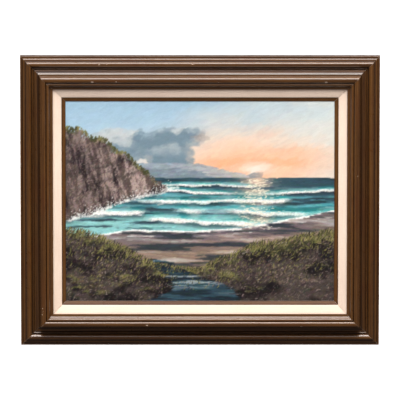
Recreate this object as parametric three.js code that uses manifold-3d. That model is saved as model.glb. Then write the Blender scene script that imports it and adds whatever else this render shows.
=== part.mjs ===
// A framed oil painting. A stretched canvas lies behind a thin wood slip, a linen-covered liner and a
// wide ridged wood moulding, which nest in one another's rebates. Flat steel clips hold the canvas from
// behind, and a sawtooth hanger carries the whole on a wall hook.
//
// Millimetres, +Z up. The picture faces -Y, +X is the viewer's right, and the wall is the plane Y = 0.
// The origin is at the middle of the hanger's raised plate, on its back face.
//
// Sections are drawn as (u, h): u runs inwards from the frame's outer edge, across the face, and h is
// the height above the moulding's flat back, towards the viewer.

import * as THREE from "three";
import { mergeVertices } from "three/addons/utils/BufferGeometryUtils.js";
import Module from "manifold-3d";

const wasm = await Module();
wasm.setup();

// Driving dimensions

const FRAME_WIDTH = 800;
const FRAME_HEIGHT = 652;
const GAP = 0.3; // between pieces that touch
const CURVE_SEGMENTS = 7; // straight facets in each curved step of a section

const CANVAS_WIDTH = 610;
const CANVAS_HEIGHT = 457;
const CANVAS_THICKNESS = 0.8;
const CANVAS_FRONT = 18.3; // height of the painted face above the moulding's back
const CANVAS_FLAP = 22; // width of the canvas turned over the stretcher's back
const CANVAS_FLAP_BACK = 0.1; // height of the turned flap's rear face

const STRETCHER_BAR = 38;
const STRETCHER_LIP = 5; // full-depth outer edge that carries the canvas
const STRETCHER_BEVEL = 2.6; // how far the bar's front falls away behind the canvas

const LINER_BACK = 2;
const LINER_OUTER = 66;
const LINER_COVERED = 8; // part of the liner's front that lies flat under the moulding's lip
const LINER_SIGHT = 92;
const LINER_EDGE_ROUND = 1.2;
const LINER_FALL = 4.8; // how far the face slopes down towards the picture
const LINER_LIP = 4; // overhang over the slip
const LINER_LIP_UNDER = 18.5;

const SLIP_BACK = 2;
const SLIP_LEG = 6;
const SLIP_SIGHT = 101;
const SLIP_TOP = 22.2;

const HANGER_LENGTH = 80;
const HANGER_HEIGHT = 14;
const HANGER_THICKNESS = 1.2;
const HANGER_STANDOFF = 4; // from the moulding's back to the raised plate's rear face
const HANGER_RAISED_HALF = 23; // half the length of the raised plate
const HANGER_LEG_RUN = 5; // length over which each end rises to the raised plate
const HANGER_BELOW_EDGE = 30; // from the frame's top edge down to the hanger's middle
const TOOTH_PITCH = 3;
const TOOTH_DEPTH = 2;
const TOOTH_HALF = 1.35; // half the width of a notch between two teeth
const TOOTH_COUNT = 15;

const NAIL = { shankRadius: 0.9, headRadius: 2.6, headHeight: 1.2, length: 11, x: 34 };
const SCREW = { shankRadius: 1.5, headRadius: 3.5, headHeight: 1.7, length: 13, x: 180 };
const SCREW_SLOT = { width: 0.9, depth: 0.7, turn: Math.PI / 5 };
const SHANK_CLEARANCE = 0.3;
const ROUND_SIDES = 16;
const HEAD_SEGMENTS = 5; // facets from a round head's rim to its crown
const OVERCUT = 1; // how far a cutting tool runs past the surface that it cuts

const CLIP_WIDTH = 13;
const CLIP_THICKNESS = 1.2;
const CLIP_OUTER = 45; // u of the clip's two rounded ends
const CLIP_INNER = 112;
const CLIP_SCREW = 52; // u of the screw's axis

// The faces of the moulding and the slip, from the outer edge inwards. Each step crosses `run` of the
// face and changes height by `rise`. Its form is a straight line, a hollow cove that `flat` brings nearer
// to the line, a round that `full` brings nearer to its corner, or a bead that rises by `bulge`.

const MOULDING_SIDE = 13.5; // height of the outer side below the face
const MOULDING_FACE = [
  { part: "outer arris", form: "round", run: 1.5, rise: 1.5, full: 0.67 },
  { part: "outer fillet", form: "line", run: 2.5, rise: 0.5 },
  { part: "outer groove", form: "line", run: 0.75, rise: -1.2 },
  { part: "outer groove", form: "line", run: 0.75, rise: 0.9 },
  { part: "outer swell", form: "round", run: 7, rise: 3.3, full: 0.7 },
  { part: "quirk", form: "line", run: 0.5, rise: 2.5 },
  { part: "outer ridge", form: "round", run: 5, rise: 5, full: 0.6 },
  { part: "outer ridge", form: "round", run: 7, rise: -5.5, full: 0.5 },
  { part: "step down", form: "line", run: 1, rise: -4 },
  { part: "thin fillet", form: "line", run: 1, rise: 0 },
  { part: "thin bead", form: "bead", run: 3, rise: 0, bulge: 2.5 },
  { part: "thin groove", form: "line", run: 1, rise: -1 },
  { part: "thin groove", form: "line", run: 1, rise: 1.5 },
  { part: "middle cove", form: "cove", run: 11, rise: 6.5, flat: 0.35 },
  { part: "riser", form: "line", run: 1.2, rise: 14.5 },
  { part: "high ridge", form: "round", run: 6.3, rise: 8, full: 0.67 },
  { part: "high ridge", form: "round", run: 6.5, rise: -4.5, full: 0.67 },
  { part: "inner groove", form: "line", run: 1, rise: -2.5 },
  { part: "inner groove", form: "line", run: 0.5, rise: 1 },
  { part: "inner bead", form: "bead", run: 6, rise: -1.5, bulge: 2.2 },
  { part: "inner cove", form: "cove", run: 6.5, rise: -6, flat: 0 },
  { part: "sight fillet", form: "line", run: 2, rise: -0.2 },
];
const MOULDING_LIP_UNDER = 28.8;
const MOULDING_REBATE = 65; // u of the rebate's wall

const SLIP_FACE = [
  { part: "outer arris", form: "round", run: 0.8, rise: 0.5, full: 0.67 },
  { part: "sloping face", form: "line", run: 6.9, rise: -2.9 },
  { part: "sight arris", form: "round", run: 1, rise: -0.5, full: 0.67 },
];

// Materials

const material = (color, roughness, metalness = 0) =>
  new THREE.MeshStandardMaterial({ color, roughness, metalness });

const darkWood = material(0x4b3120, 0.35);
const linen = material(0xf3e2cf, 0.95);
const slipWood = material(0x5e4430, 0.4);
const paint = material(0x7e8889, 0.5);
const pine = material(0xc8a878, 0.8);
const steel = material(0xa9a9a6, 0.4, 0.9);
const brassPlate = material(0xb39a5c, 0.35, 0.9);

// Section drawing

const towards = (from, to, share) => ({
  u: from.u + (to.u - from.u) * share,
  h: from.h + (to.h - from.h) * share,
});

function addStep(shape, from, step) {
  const to = { u: from.u + step.run, h: from.h + step.rise };
  const corners = [{ u: from.u, h: to.h }, { u: to.u, h: from.h }];
  const [high, low] = step.rise > 0 ? corners : corners.reverse();
  if (step.form === "line") {
    shape.lineTo(to.u, to.h);
  } else if (step.form === "cove") {
    const handle = towards(low, towards(from, to, 0.5), step.flat);
    shape.quadraticCurveTo(handle.u, handle.h, to.u, to.h);
  } else if (step.form === "round") {
    const near = towards(from, high, step.full);
    const far = towards(to, high, step.full);
    shape.bezierCurveTo(near.u, near.h, far.u, far.h, to.u, to.h);
  } else {
    const lift = (step.bulge * 4) / 3; // a cubic's middle lies three quarters of the way to its handles
    shape.bezierCurveTo(from.u, from.h + lift, to.u, to.h + lift, to.u, to.h);
  }
  return to;
}

const addFace = (shape, start, steps) => steps.reduce((at, step) => addStep(shape, at, step), start);

function mouldingSection() {
  const shape = new THREE.Shape();
  shape.moveTo(0, 0);
  shape.lineTo(0, MOULDING_SIDE);
  const sight = addFace(shape, { u: 0, h: MOULDING_SIDE }, MOULDING_FACE);
  shape.lineTo(sight.u, MOULDING_LIP_UNDER);
  shape.lineTo(MOULDING_REBATE, MOULDING_LIP_UNDER);
  shape.lineTo(MOULDING_REBATE, 0);
  return shape;
}

function linerSection() {
  const top = MOULDING_LIP_UNDER - GAP;
  const sightTop = top - LINER_FALL;
  const rebate = LINER_SIGHT - LINER_LIP;
  const shape = new THREE.Shape();
  shape.moveTo(LINER_OUTER, LINER_BACK);
  shape.lineTo(LINER_OUTER, top);
  shape.lineTo(LINER_OUTER + LINER_COVERED, top);
  shape.lineTo(LINER_SIGHT - LINER_EDGE_ROUND, sightTop);
  shape.quadraticCurveTo(LINER_SIGHT, sightTop, LINER_SIGHT, sightTop - LINER_EDGE_ROUND);
  shape.lineTo(LINER_SIGHT, LINER_LIP_UNDER);
  shape.lineTo(rebate, LINER_LIP_UNDER);
  shape.lineTo(rebate, LINER_BACK);
  return shape;
}

function slipSection() {
  const leg = LINER_SIGHT - LINER_LIP + GAP;
  const head = LINER_SIGHT + GAP;
  const under = CANVAS_FRONT + GAP;
  const shape = new THREE.Shape();
  shape.moveTo(leg, SLIP_BACK);
  shape.lineTo(leg, LINER_LIP_UNDER - GAP);
  shape.lineTo(head, LINER_LIP_UNDER - GAP);
  shape.lineTo(head, SLIP_TOP);
  addFace(shape, { u: head, h: SLIP_TOP }, SLIP_FACE);
  shape.lineTo(SLIP_SIGHT, under);
  shape.lineTo(leg + SLIP_LEG, under);
  shape.lineTo(leg + SLIP_LEG, SLIP_BACK);
  return shape;
}

// A stretcher bar, with u from the bar's own outer side.
function stretcherSection() {
  const back = CANVAS_FLAP_BACK + CANVAS_THICKNESS + GAP;
  const front = CANVAS_FRONT - CANVAS_THICKNESS - GAP;
  const shape = new THREE.Shape();
  shape.moveTo(0, back);
  shape.lineTo(0, front);
  shape.lineTo(STRETCHER_LIP, front);
  shape.lineTo(STRETCHER_BAR, front - STRETCHER_BEVEL);
  shape.lineTo(STRETCHER_BAR, back);
  return shape;
}

// Booleans

function toSolid(geometry) {
  const bare = geometry.index ? geometry.toNonIndexed() : geometry.clone();
  bare.deleteAttribute("normal");
  bare.deleteAttribute("uv");
  const merged = mergeVertices(bare, 1e-4);
  return new wasm.Manifold(
    new wasm.Mesh({
      numProp: 3,
      vertProperties: merged.attributes.position.array,
      triVerts: merged.index.array,
    }),
  );
}

function toGeometry(solid) {
  const { vertProperties, triVerts } = solid.getMesh();
  const geometry = new THREE.BufferGeometry();
  geometry.setAttribute("position", new THREE.BufferAttribute(vertProperties, 3));
  geometry.setIndex(new THREE.BufferAttribute(triVerts, 1));
  geometry.computeVertexNormals();
  return geometry;
}

const cutAll = (geometry, tools) =>
  toGeometry(tools.reduce((left, tool) => left.subtract(toSolid(tool)), toSolid(geometry)));

// Rails: x along the rail, y = -h, and z up from the middle of the picture, for the rail at the top.

function railGeometry(section, length, reach) {
  const geometry = new THREE.ExtrudeGeometry(section, {
    depth: 1,
    bevelEnabled: false,
    curveSegments: CURVE_SEGMENTS,
  });
  const mitre = GAP / Math.SQRT2;
  const points = geometry.getAttribute("position");
  for (let i = 0; i < points.count; i += 1) {
    const [u, h, end] = [points.getX(i), points.getY(i), points.getZ(i)];
    const half = length / 2 - u - mitre;
    points.setXYZ(i, end > 0.5 ? -half : half, -h, reach - u);
  }
  return geometry;
}

const SIDES = [
  { side: "top", turn: 0, upright: false },
  { side: "right", turn: Math.PI / 2, upright: true },
  { side: "bottom", turn: Math.PI, upright: false },
  { side: "left", turn: -Math.PI / 2, upright: true },
];

// Four mitred rails round a rectangle. cutters gives the holes of one side, in that rail's own frame.
function mitredRing(prefix, section, width, height, look, cutters = () => []) {
  return SIDES.map(({ side, turn, upright }) => {
    const length = upright ? height : width;
    const reach = (upright ? width : height) / 2;
    const plain = railGeometry(section, length, reach);
    const holes = cutters(side, reach);
    const rail = new THREE.Mesh(holes.length ? cutAll(plain, holes) : plain, look);
    rail.name = `${prefix}_${side}`;
    rail.rotation.y = turn;
    return rail;
  });
}

// A hole for a nail or screw, bored into the moulding's back.
function shankHole(fastener, x, z) {
  const radius = fastener.shankRadius + SHANK_CLEARANCE;
  const length = fastener.length + OVERCUT;
  const hole = new THREE.CylinderGeometry(radius, radius, length, ROUND_SIDES);
  return hole.translate(x, OVERCUT - length / 2, z);
}

function mouldingHoles(side, reach) {
  const pair = (fastener, inset) =>
    [-1, 1].map((end) => shankHole(fastener, end * fastener.x, reach - inset));
  const holes = [];
  if (side === "top") holes.push(...pair(NAIL, HANGER_BELOW_EDGE));
  if (side === "top" || side === "bottom") holes.push(...pair(SCREW, CLIP_SCREW));
  return holes;
}

// The canvas: a sheet over the stretcher's front, turned down its sides and over its back.
function canvas() {
  const box = (inset, low, high) => {
    const made = new THREE.BoxGeometry(
      CANVAS_WIDTH - 2 * inset,
      high - low,
      CANVAS_HEIGHT - 2 * inset,
    );
    return made.translate(0, -(low + high) / 2, 0);
  };
  const flapFront = CANVAS_FLAP_BACK + CANVAS_THICKNESS;
  const inside = box(CANVAS_THICKNESS, flapFront, CANVAS_FRONT - CANVAS_THICKNESS);
  const backOpening = box(CANVAS_FLAP, CANVAS_FLAP_BACK - OVERCUT, flapFront + OVERCUT);
  const sheet = cutAll(box(0, CANVAS_FLAP_BACK, CANVAS_FRONT), [inside, backOpening]);
  const mesh = new THREE.Mesh(sheet, paint);
  mesh.name = "canvas";
  return mesh;
}

// Hardware: in these frames y = 0 is the moulding's back and +Y points to the wall.

// A headed nail or screw. seat is the height of the surface that its head lies over.
function fastenerGeometry(fastener, seat) {
  const under = seat + GAP;
  const top = under + fastener.headHeight;
  const tip = GAP - fastener.length;
  const outline = new THREE.Path();
  outline.moveTo(0, tip);
  outline.lineTo(fastener.shankRadius, tip + fastener.shankRadius);
  outline.lineTo(fastener.shankRadius, under);
  outline.lineTo(fastener.headRadius, under);
  outline.quadraticCurveTo(fastener.headRadius, top, 0, top);
  return new THREE.LatheGeometry(outline.getPoints(HEAD_SEGMENTS), ROUND_SIDES);
}

function hangerNail(end) {
  const mesh = new THREE.Mesh(fastenerGeometry(NAIL, GAP + HANGER_THICKNESS), steel);
  mesh.name = `hanger_nail_${end < 0 ? "left" : "right"}`;
  mesh.position.x = end * NAIL.x;
  return mesh;
}

function clipScrew(name) {
  const plain = fastenerGeometry(SCREW, GAP + CLIP_THICKNESS);
  const top = 2 * GAP + CLIP_THICKNESS + SCREW.headHeight;
  const slotLength = 2 * (SCREW.headRadius + OVERCUT);
  const slot = new THREE.BoxGeometry(slotLength, 2 * SCREW_SLOT.depth, SCREW_SLOT.width);
  slot.rotateY(SCREW_SLOT.turn).translate(0, top, 0);
  const mesh = new THREE.Mesh(cutAll(plain, [slot]), steel);
  mesh.name = `clip_screw_${name}`;
  return mesh;
}

// A flat strip with round ends. Its screw is at the origin, and it points down to the picture.
function clip(name) {
  const round = CLIP_WIDTH / 2;
  const low = CLIP_SCREW - CLIP_INNER + round;
  const high = CLIP_SCREW - CLIP_OUTER - round;
  const outline = new THREE.Shape();
  outline.absarc(0, high, round, 0, Math.PI, false);
  outline.absarc(0, low, round, Math.PI, 2 * Math.PI, false);
  const hole = new THREE.Path();
  hole.absarc(0, 0, SCREW.shankRadius + SHANK_CLEARANCE, 0, 2 * Math.PI, true);
  outline.holes.push(hole);
  const strip = new THREE.ExtrudeGeometry(outline, {
    depth: CLIP_THICKNESS,
    bevelEnabled: false,
    curveSegments: CURVE_SEGMENTS,
  });
  strip.rotateX(Math.PI / 2).translate(0, CLIP_THICKNESS, 0);
  const mesh = new THREE.Mesh(strip, steel);
  mesh.name = `clip_${name}`;
  mesh.position.y = GAP;
  return mesh;
}

// The hanger: a strip bowed away from the wood, with teeth cut in the raised plate's lower edge.
function hanger() {
  const half = HANGER_LENGTH / 2;
  const foot = HANGER_RAISED_HALF + HANGER_LEG_RUN;
  const low = GAP;
  const rise = HANGER_STANDOFF - HANGER_THICKNESS - low;
  const bend = HANGER_THICKNESS * Math.tan(Math.atan2(rise, HANGER_LEG_RUN) / 2);
  const nearWood = [
    [half, low],
    [foot - bend, low],
    [HANGER_RAISED_HALF - bend, low + rise],
  ];
  const nearWall = [
    [half, low],
    [foot, low],
    [HANGER_RAISED_HALF, low + rise],
  ].map(([x, y]) => [x, y + HANGER_THICKNESS]);
  const mirrored = (points) => points.map(([x, y]) => [-x, y]);
  const outline = [
    ...nearWood,
    ...mirrored(nearWood).reverse(),
    ...mirrored(nearWall),
    ...nearWall.reverse(),
  ].map(([x, y]) => new THREE.Vector2(x, y));
  const strip = new THREE.ExtrudeGeometry(new THREE.Shape(outline), {
    depth: HANGER_HEIGHT,
    bevelEnabled: false,
  });
  strip.translate(0, 0, -HANGER_HEIGHT / 2);

  const notches = Array.from({ length: TOOTH_COUNT }, (_, i) => {
    const depth = 2 * HANGER_STANDOFF;
    const notch = new THREE.CylinderGeometry(TOOTH_HALF, TOOTH_HALF, depth, 4); // four sides: a lozenge
    notch.scale(1, 1, TOOTH_DEPTH / TOOTH_HALF);
    const x = (i - (TOOTH_COUNT - 1) / 2) * TOOTH_PITCH;
    return notch.translate(x, HANGER_STANDOFF, -HANGER_HEIGHT / 2);
  });
  const nailHoles = [-1, 1].map((end) => shankHole(NAIL, end * NAIL.x, 0).translate(0, HANGER_STANDOFF, 0));
  const mesh = new THREE.Mesh(cutAll(strip, [...notches, ...nailHoles]), brassPlate);
  mesh.name = "hanger";
  return mesh;
}

// Assembly

const object = new THREE.Group();

const picture = new THREE.Group();
picture.position.set(0, -HANGER_STANDOFF, HANGER_BELOW_EDGE - FRAME_HEIGHT / 2);
object.add(picture);

const stretcherInset = CANVAS_THICKNESS + GAP;
picture.add(
  ...mitredRing("frame_rail", mouldingSection(), FRAME_WIDTH, FRAME_HEIGHT, darkWood, mouldingHoles),
  ...mitredRing("liner", linerSection(), FRAME_WIDTH, FRAME_HEIGHT, linen),
  ...mitredRing("slip", slipSection(), FRAME_WIDTH, FRAME_HEIGHT, slipWood),
  ...mitredRing(
    "stretcher",
    stretcherSection(),
    CANVAS_WIDTH - 2 * stretcherInset,
    CANVAS_HEIGHT - 2 * stretcherInset,
    pine,
  ),
  canvas(),
);

for (const [vertical, up] of [["top", 1], ["bottom", -1]]) {
  for (const [horizontal, right] of [["left", -1], ["right", 1]]) {
    const place = new THREE.Group();
    place.position.set(right * SCREW.x, 0, up * (FRAME_HEIGHT / 2 - CLIP_SCREW));
    place.rotation.y = up > 0 ? 0 : Math.PI;
    place.add(clip(`${vertical}_${horizontal}`), clipScrew(`${vertical}_${horizontal}`));
    picture.add(place);
  }
}

const hangerPlace = new THREE.Group();
hangerPlace.position.y = -HANGER_STANDOFF;
hangerPlace.add(hanger(), hangerNail(-1), hangerNail(1));
object.add(hangerPlace);

export default object;
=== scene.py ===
"""The framed oil painting: finishes and fine shapes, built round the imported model.

The picture faces -Y and the wall is behind it. Sections are given as (u, h) in millimetres: u runs inwards
from the frame's outer edge, and h is the height above the moulding's flat back, towards the viewer.
"""

import math

import bmesh
import bpy
import numpy as np
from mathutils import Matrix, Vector


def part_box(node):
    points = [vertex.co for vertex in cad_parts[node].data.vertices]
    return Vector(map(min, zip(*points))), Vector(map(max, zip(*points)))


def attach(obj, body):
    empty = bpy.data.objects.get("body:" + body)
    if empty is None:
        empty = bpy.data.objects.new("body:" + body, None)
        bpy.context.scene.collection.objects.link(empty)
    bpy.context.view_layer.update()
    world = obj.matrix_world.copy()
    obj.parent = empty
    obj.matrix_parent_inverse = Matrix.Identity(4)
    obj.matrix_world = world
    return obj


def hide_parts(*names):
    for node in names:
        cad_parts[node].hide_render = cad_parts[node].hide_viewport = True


bl_info = {
    "name": "Framed Oil Painting",
    "version": (1, 0, 0),
    "blender": (4, 5, 0),
    "location": "View3D > Sidebar > Painting",
    "description": "Builds the moulding, liner, slip, painted canvas and fittings of a framed oil painting",
    "category": "Object",
}

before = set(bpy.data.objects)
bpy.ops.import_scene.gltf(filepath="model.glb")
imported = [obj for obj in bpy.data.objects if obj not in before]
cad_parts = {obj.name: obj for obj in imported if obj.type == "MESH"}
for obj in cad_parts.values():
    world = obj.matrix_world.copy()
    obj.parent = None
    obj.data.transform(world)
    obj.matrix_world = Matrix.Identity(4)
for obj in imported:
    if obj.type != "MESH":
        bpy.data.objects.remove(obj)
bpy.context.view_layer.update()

MM = 0.001
BODY = "root"

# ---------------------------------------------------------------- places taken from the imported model

TOP_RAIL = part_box("frame_rail_top")
BOTTOM_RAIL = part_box("frame_rail_bottom")
LEFT_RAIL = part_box("frame_rail_left")
RIGHT_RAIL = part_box("frame_rail_right")
CANVAS_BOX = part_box("canvas")

FRAME_LEFT, FRAME_RIGHT = LEFT_RAIL[0][0], RIGHT_RAIL[1][0]
FRAME_BOTTOM, FRAME_TOP = BOTTOM_RAIL[0][2], TOP_RAIL[1][2]
FRAME_WIDTH = FRAME_RIGHT - FRAME_LEFT
FRAME_HEIGHT = FRAME_TOP - FRAME_BOTTOM
CENTRE_X = (FRAME_LEFT + FRAME_RIGHT) / 2
CENTRE_Z = (FRAME_BOTTOM + FRAME_TOP) / 2
BACK_Y = TOP_RAIL[1][1]  # the moulding's flat back
FRONT_Y = TOP_RAIL[0][1]

# ---------------------------------------------------------------- sections

# Each step has its part of the face, its form, how much of the face it crosses, and its rise. The last
# number is a bead's bulge above the straight line, how far a cove is flattened towards that line, or how
# closely a round follows its corner.
MOULDING_SIDE = 13.5
MOULDING_LIP_UNDER = 28.8
MOULDING_REBATE = 65
MOULDING_FACE = (
    ("outer arris", "round", 1.5, 1.5, 0.67),
    ("outer fillet", "line", 2.5, 0.5, 0),
    ("outer groove", "line", 0.75, -1.2, 0),
    ("outer groove", "line", 0.75, 0.9, 0),
    ("outer swell", "round", 7, 3.3, 0.7),
    ("quirk", "line", 0.5, 2.5, 0),
    ("outer ridge", "round", 5, 5, 0.6),
    ("outer ridge", "round", 7, -5.5, 0.5),
    ("step down", "line", 1, -4, 0),
    ("thin fillet", "line", 1, 0, 0),
    ("thin bead", "bead", 3, 0, 2.5),
    ("thin groove", "line", 1, -1, 0),
    ("thin groove", "line", 1, 1.5, 0),
    ("middle cove", "cove", 11, 6.5, 0.35),
    ("riser", "line", 1.2, 14.5, 0),
    ("high ridge", "round", 6.3, 8, 0.67),
    ("high ridge", "round", 6.5, -4.5, 0.67),
    ("inner groove", "line", 1, -2.5, 0),
    ("inner groove", "line", 0.5, 1, 0),
    ("inner bead", "bead", 6, -1.5, 2.2),
    ("inner cove", "cove", 6.5, -6, 0),
    ("sight fillet", "line", 2, -0.2, 0),
)

LINER_OUTER = 66
LINER_COVERED = 8
LINER_SIGHT = 92
LINER_LIP = 4
LINER_LIP_UNDER = 18.5
LINER_TOP = 28.5
LINER_FALL = 4.8
STRIP_BACK = 2
SLIP_LEG = (88.3, 94.3)
SLIP_HEAD = 92.3
SLIP_LEG_TOP = 18.2
SLIP_UNDER = 18.6
SLIP_TOP = 22.2
SLIP_FACE = (
    ("outer arris", "round", 0.8, 0.5, 0.67),
    ("sloping face", "line", 6.9, -2.9, 0),
    ("sight arris", "round", 1, -0.5, 0.67),
)

CURVE_POINTS = 12
MITRE_GAP = 0.15  # half of the hairline between two rails at a mitre
FACE_ABOVE = MOULDING_SIDE - 1  # what lies lower is the side or the back
STAIN_LAP = 0.6  # how far the stain runs round an edge on to bare wood
MOULDING_EASE, LINER_EASE, SLIP_EASE = 0.45, 1.3, 0.35  # how far sharp corners are rounded


def step_points(start, form, run, rise, shape):
    """The points of one step of a face, without its start."""
    start = np.array(start, float)
    end = start + (run, rise)
    low_corner, high_corner = np.array([end[0], start[1]]), np.array([start[0], end[1]])
    if rise < 0:
        low_corner, high_corner = high_corner, low_corner
    if form == "line":
        return [tuple(end)]
    if form == "cove":
        handles = [low_corner + ((start + end) / 2 - low_corner) * shape]
    elif form == "round":
        handles = [start + (high_corner - start) * shape, end + (high_corner - end) * shape]
    else:
        lift = np.array([0, shape * 4 / 3])
        handles = [start + lift, end + lift]
    found = []
    for t in np.linspace(0, 1, CURVE_POINTS + 1)[1:]:
        points = [start, *handles, end]
        while len(points) > 1:
            points = [a + (b - a) * t for a, b in zip(points, points[1:])]
        found.append(tuple(points[0]))
    return found


def face_points(start, steps):
    """The points of a face, from its start through all its steps."""
    points = [start]
    for _, form, run, rise, shape in steps:
        points += step_points(points[-1], form, run, rise, shape)
    return points


def eased(points, radius):
    """A closed outline with each sharp corner turned into a small round."""
    outline = np.array(points, float)
    found = []
    for here, before, after in zip(outline, np.roll(outline, 1, 0), np.roll(outline, -1, 0)):
        back, ahead = before - here, after - here
        room = min(np.linalg.norm(back), np.linalg.norm(ahead))
        back, ahead = back / np.linalg.norm(back), ahead / np.linalg.norm(ahead)
        if back @ ahead < math.cos(math.radians(160)):
            found.append(tuple(here))
            continue
        cut = min(radius, 0.42 * room)
        a, b = here + back * cut, here + ahead * cut
        found += [tuple(a), tuple((a + b) / 4 + here / 2), tuple(b)]
    return found


def raw_wood(u, h):
    """Whether a point of the moulding's outline lies on its unstained back or in its rebate."""
    sight = sum(step[2] for step in MOULDING_FACE)
    in_rebate = MOULDING_REBATE - 1 < u < sight - STAIN_LAP and h < MOULDING_LIP_UNDER + 0.2
    return h < 0.2 or in_rebate


def moulding_section():
    """The moulding's outline: its face, then its rebate and back."""
    face = face_points((0, MOULDING_SIDE), MOULDING_FACE)
    sight = face[-1][0]
    back = [(sight, MOULDING_LIP_UNDER), (MOULDING_REBATE, MOULDING_LIP_UNDER), (MOULDING_REBATE, 0), (0, 0)]
    return eased(face + back, MOULDING_EASE)


def liner_section():
    """A flat covered edge, a sloping face that rounds over at the sight edge, and a rebate for the canvas."""
    start = LINER_OUTER + LINER_COVERED
    slope = [(start + t * (LINER_SIGHT - start), LINER_TOP - LINER_FALL * t) for t in (0, 0.25, 0.5, 0.75, 1)]
    face = [(LINER_OUTER, STRIP_BACK), (LINER_OUTER, LINER_TOP), *slope]
    rebate = LINER_SIGHT - LINER_LIP
    back = [(LINER_SIGHT, LINER_LIP_UNDER), (rebate, LINER_LIP_UNDER), (rebate, STRIP_BACK)]
    return eased(face + back, LINER_EASE)


def slip_section():
    """The slip's outline: a leg that goes back, and a head with the face."""
    face = face_points((SLIP_HEAD, SLIP_TOP), SLIP_FACE)
    outer = [(SLIP_LEG[0], STRIP_BACK), (SLIP_LEG[0], SLIP_LEG_TOP), (SLIP_HEAD, SLIP_LEG_TOP)]
    under = [(face[-1][0], SLIP_UNDER), (SLIP_LEG[1], SLIP_UNDER), (SLIP_LEG[1], STRIP_BACK)]
    return eased(outer + face + under, SLIP_EASE)


# ---------------------------------------------------------------- mitred rails

RELIEF_REACH = 2.4  # mm
MITRE_SINK = 0.12  # mm that the arris at a mitre is eased
SIDES = {"top": 0, "right": 90, "bottom": 180, "left": -90}

# Marks of use: the side, the place along it from its middle, u, length, width, depth and paleness.
DINGS = (
    ("top", -224, 17.5, 4, 2.0, 0.4, 0.55),
    ("top", -206, 18.5, 2.5, 1.6, 0.3, 0.4),
    ("top", -16, 17, 5, 1.8, 0.4, 0.5),
    ("top", -239, 54.5, 3.4, 2.1, 0.6, 1.0),
    ("top", -186, 54, 2.5, 1.8, 0.3, 0.6),
    ("top", 42, 55, 3, 1.8, 0.3, 0.4),
    ("top", 280, 55, 3.6, 2.0, 0.5, 0.9),
    ("bottom", 118, 50, 3, 1.6, 0.3, 0.7),
    ("bottom", -226, 47, 4, 2, 0.3, 0.4),
    ("left", -238, 49, 1.6, 1.0, 0.3, 0.8),
    ("left", -245, 50.5, 1.3, 0.9, 0.3, 0.7),
    ("left", -252, 48.5, 2.0, 1.0, 0.3, 0.8),
    ("right", -60, 49, 3, 1.6, 0.3, 0.4),
)


def stations(marks, half, spacing):
    """Where the rings of a rail lie, from -1 to 1 along it, closer together at each mark."""
    count = int(2 * half / spacing)
    places = list(np.linspace(-1, 1, count + 1))
    for _, along, u, length, *_ in marks:
        for k in np.linspace(-1.2, 1.2, 9):
            places.append((along + k * length) / (half - u))
    places += [end * (1 - k / half) for end in (-1, 1) for k in (0.25, 0.8, 2, 5, 9, 14, 20, 27)]
    return np.unique(np.round(np.clip(places, -1, 1), 6))


def row_of_points(name, values, closed):
    """Points joined in a row, each with its named values, which Geometry Nodes turn into a curve."""
    count = len(next(iter(values.values())))
    edges = [(i, (i + 1) % count) for i in range(count if closed else count - 1)]
    places = values.get("corner", [(k, 0) for k in range(count)])
    mesh = bpy.data.meshes.new(name)
    mesh.from_pydata([(a * MM, b * MM, 0) for a, b in places], edges, [])
    row = bpy.data.objects.new(name, mesh)
    for key, found in values.items():
        if key != "corner":
            set_attribute(row, key, "FLOAT", found)
    return row


def section_row(name, section, bare):
    """A section as a closed row. `relief` is how far the face stands above what is round it, and `bare` is 1
    where the wood has no stain."""
    outline = np.array(section)
    steps = np.linalg.norm(np.diff(outline, axis=0, append=outline[:1]), axis=1)
    u, h = outline[:, 0], outline[:, 1]
    apart = (u[:, None] - u[None, :]) / RELIEF_REACH
    near = np.exp(-(apart**2)) * ((h > FACE_ABOVE) * steps)[None, :]
    values = {
        "corner": section,
        "u": u * MM,
        "h": h * MM,
        "across": np.concatenate([[0], np.cumsum(steps)[:-1]]) * MM,
        "relief": h - (near * h[None, :]).sum(1) / np.maximum(near.sum(1), 1e-6),
        "bare": [float(bare(*point)) for point in section],
    }
    return row_of_points(name, values, True)


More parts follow.
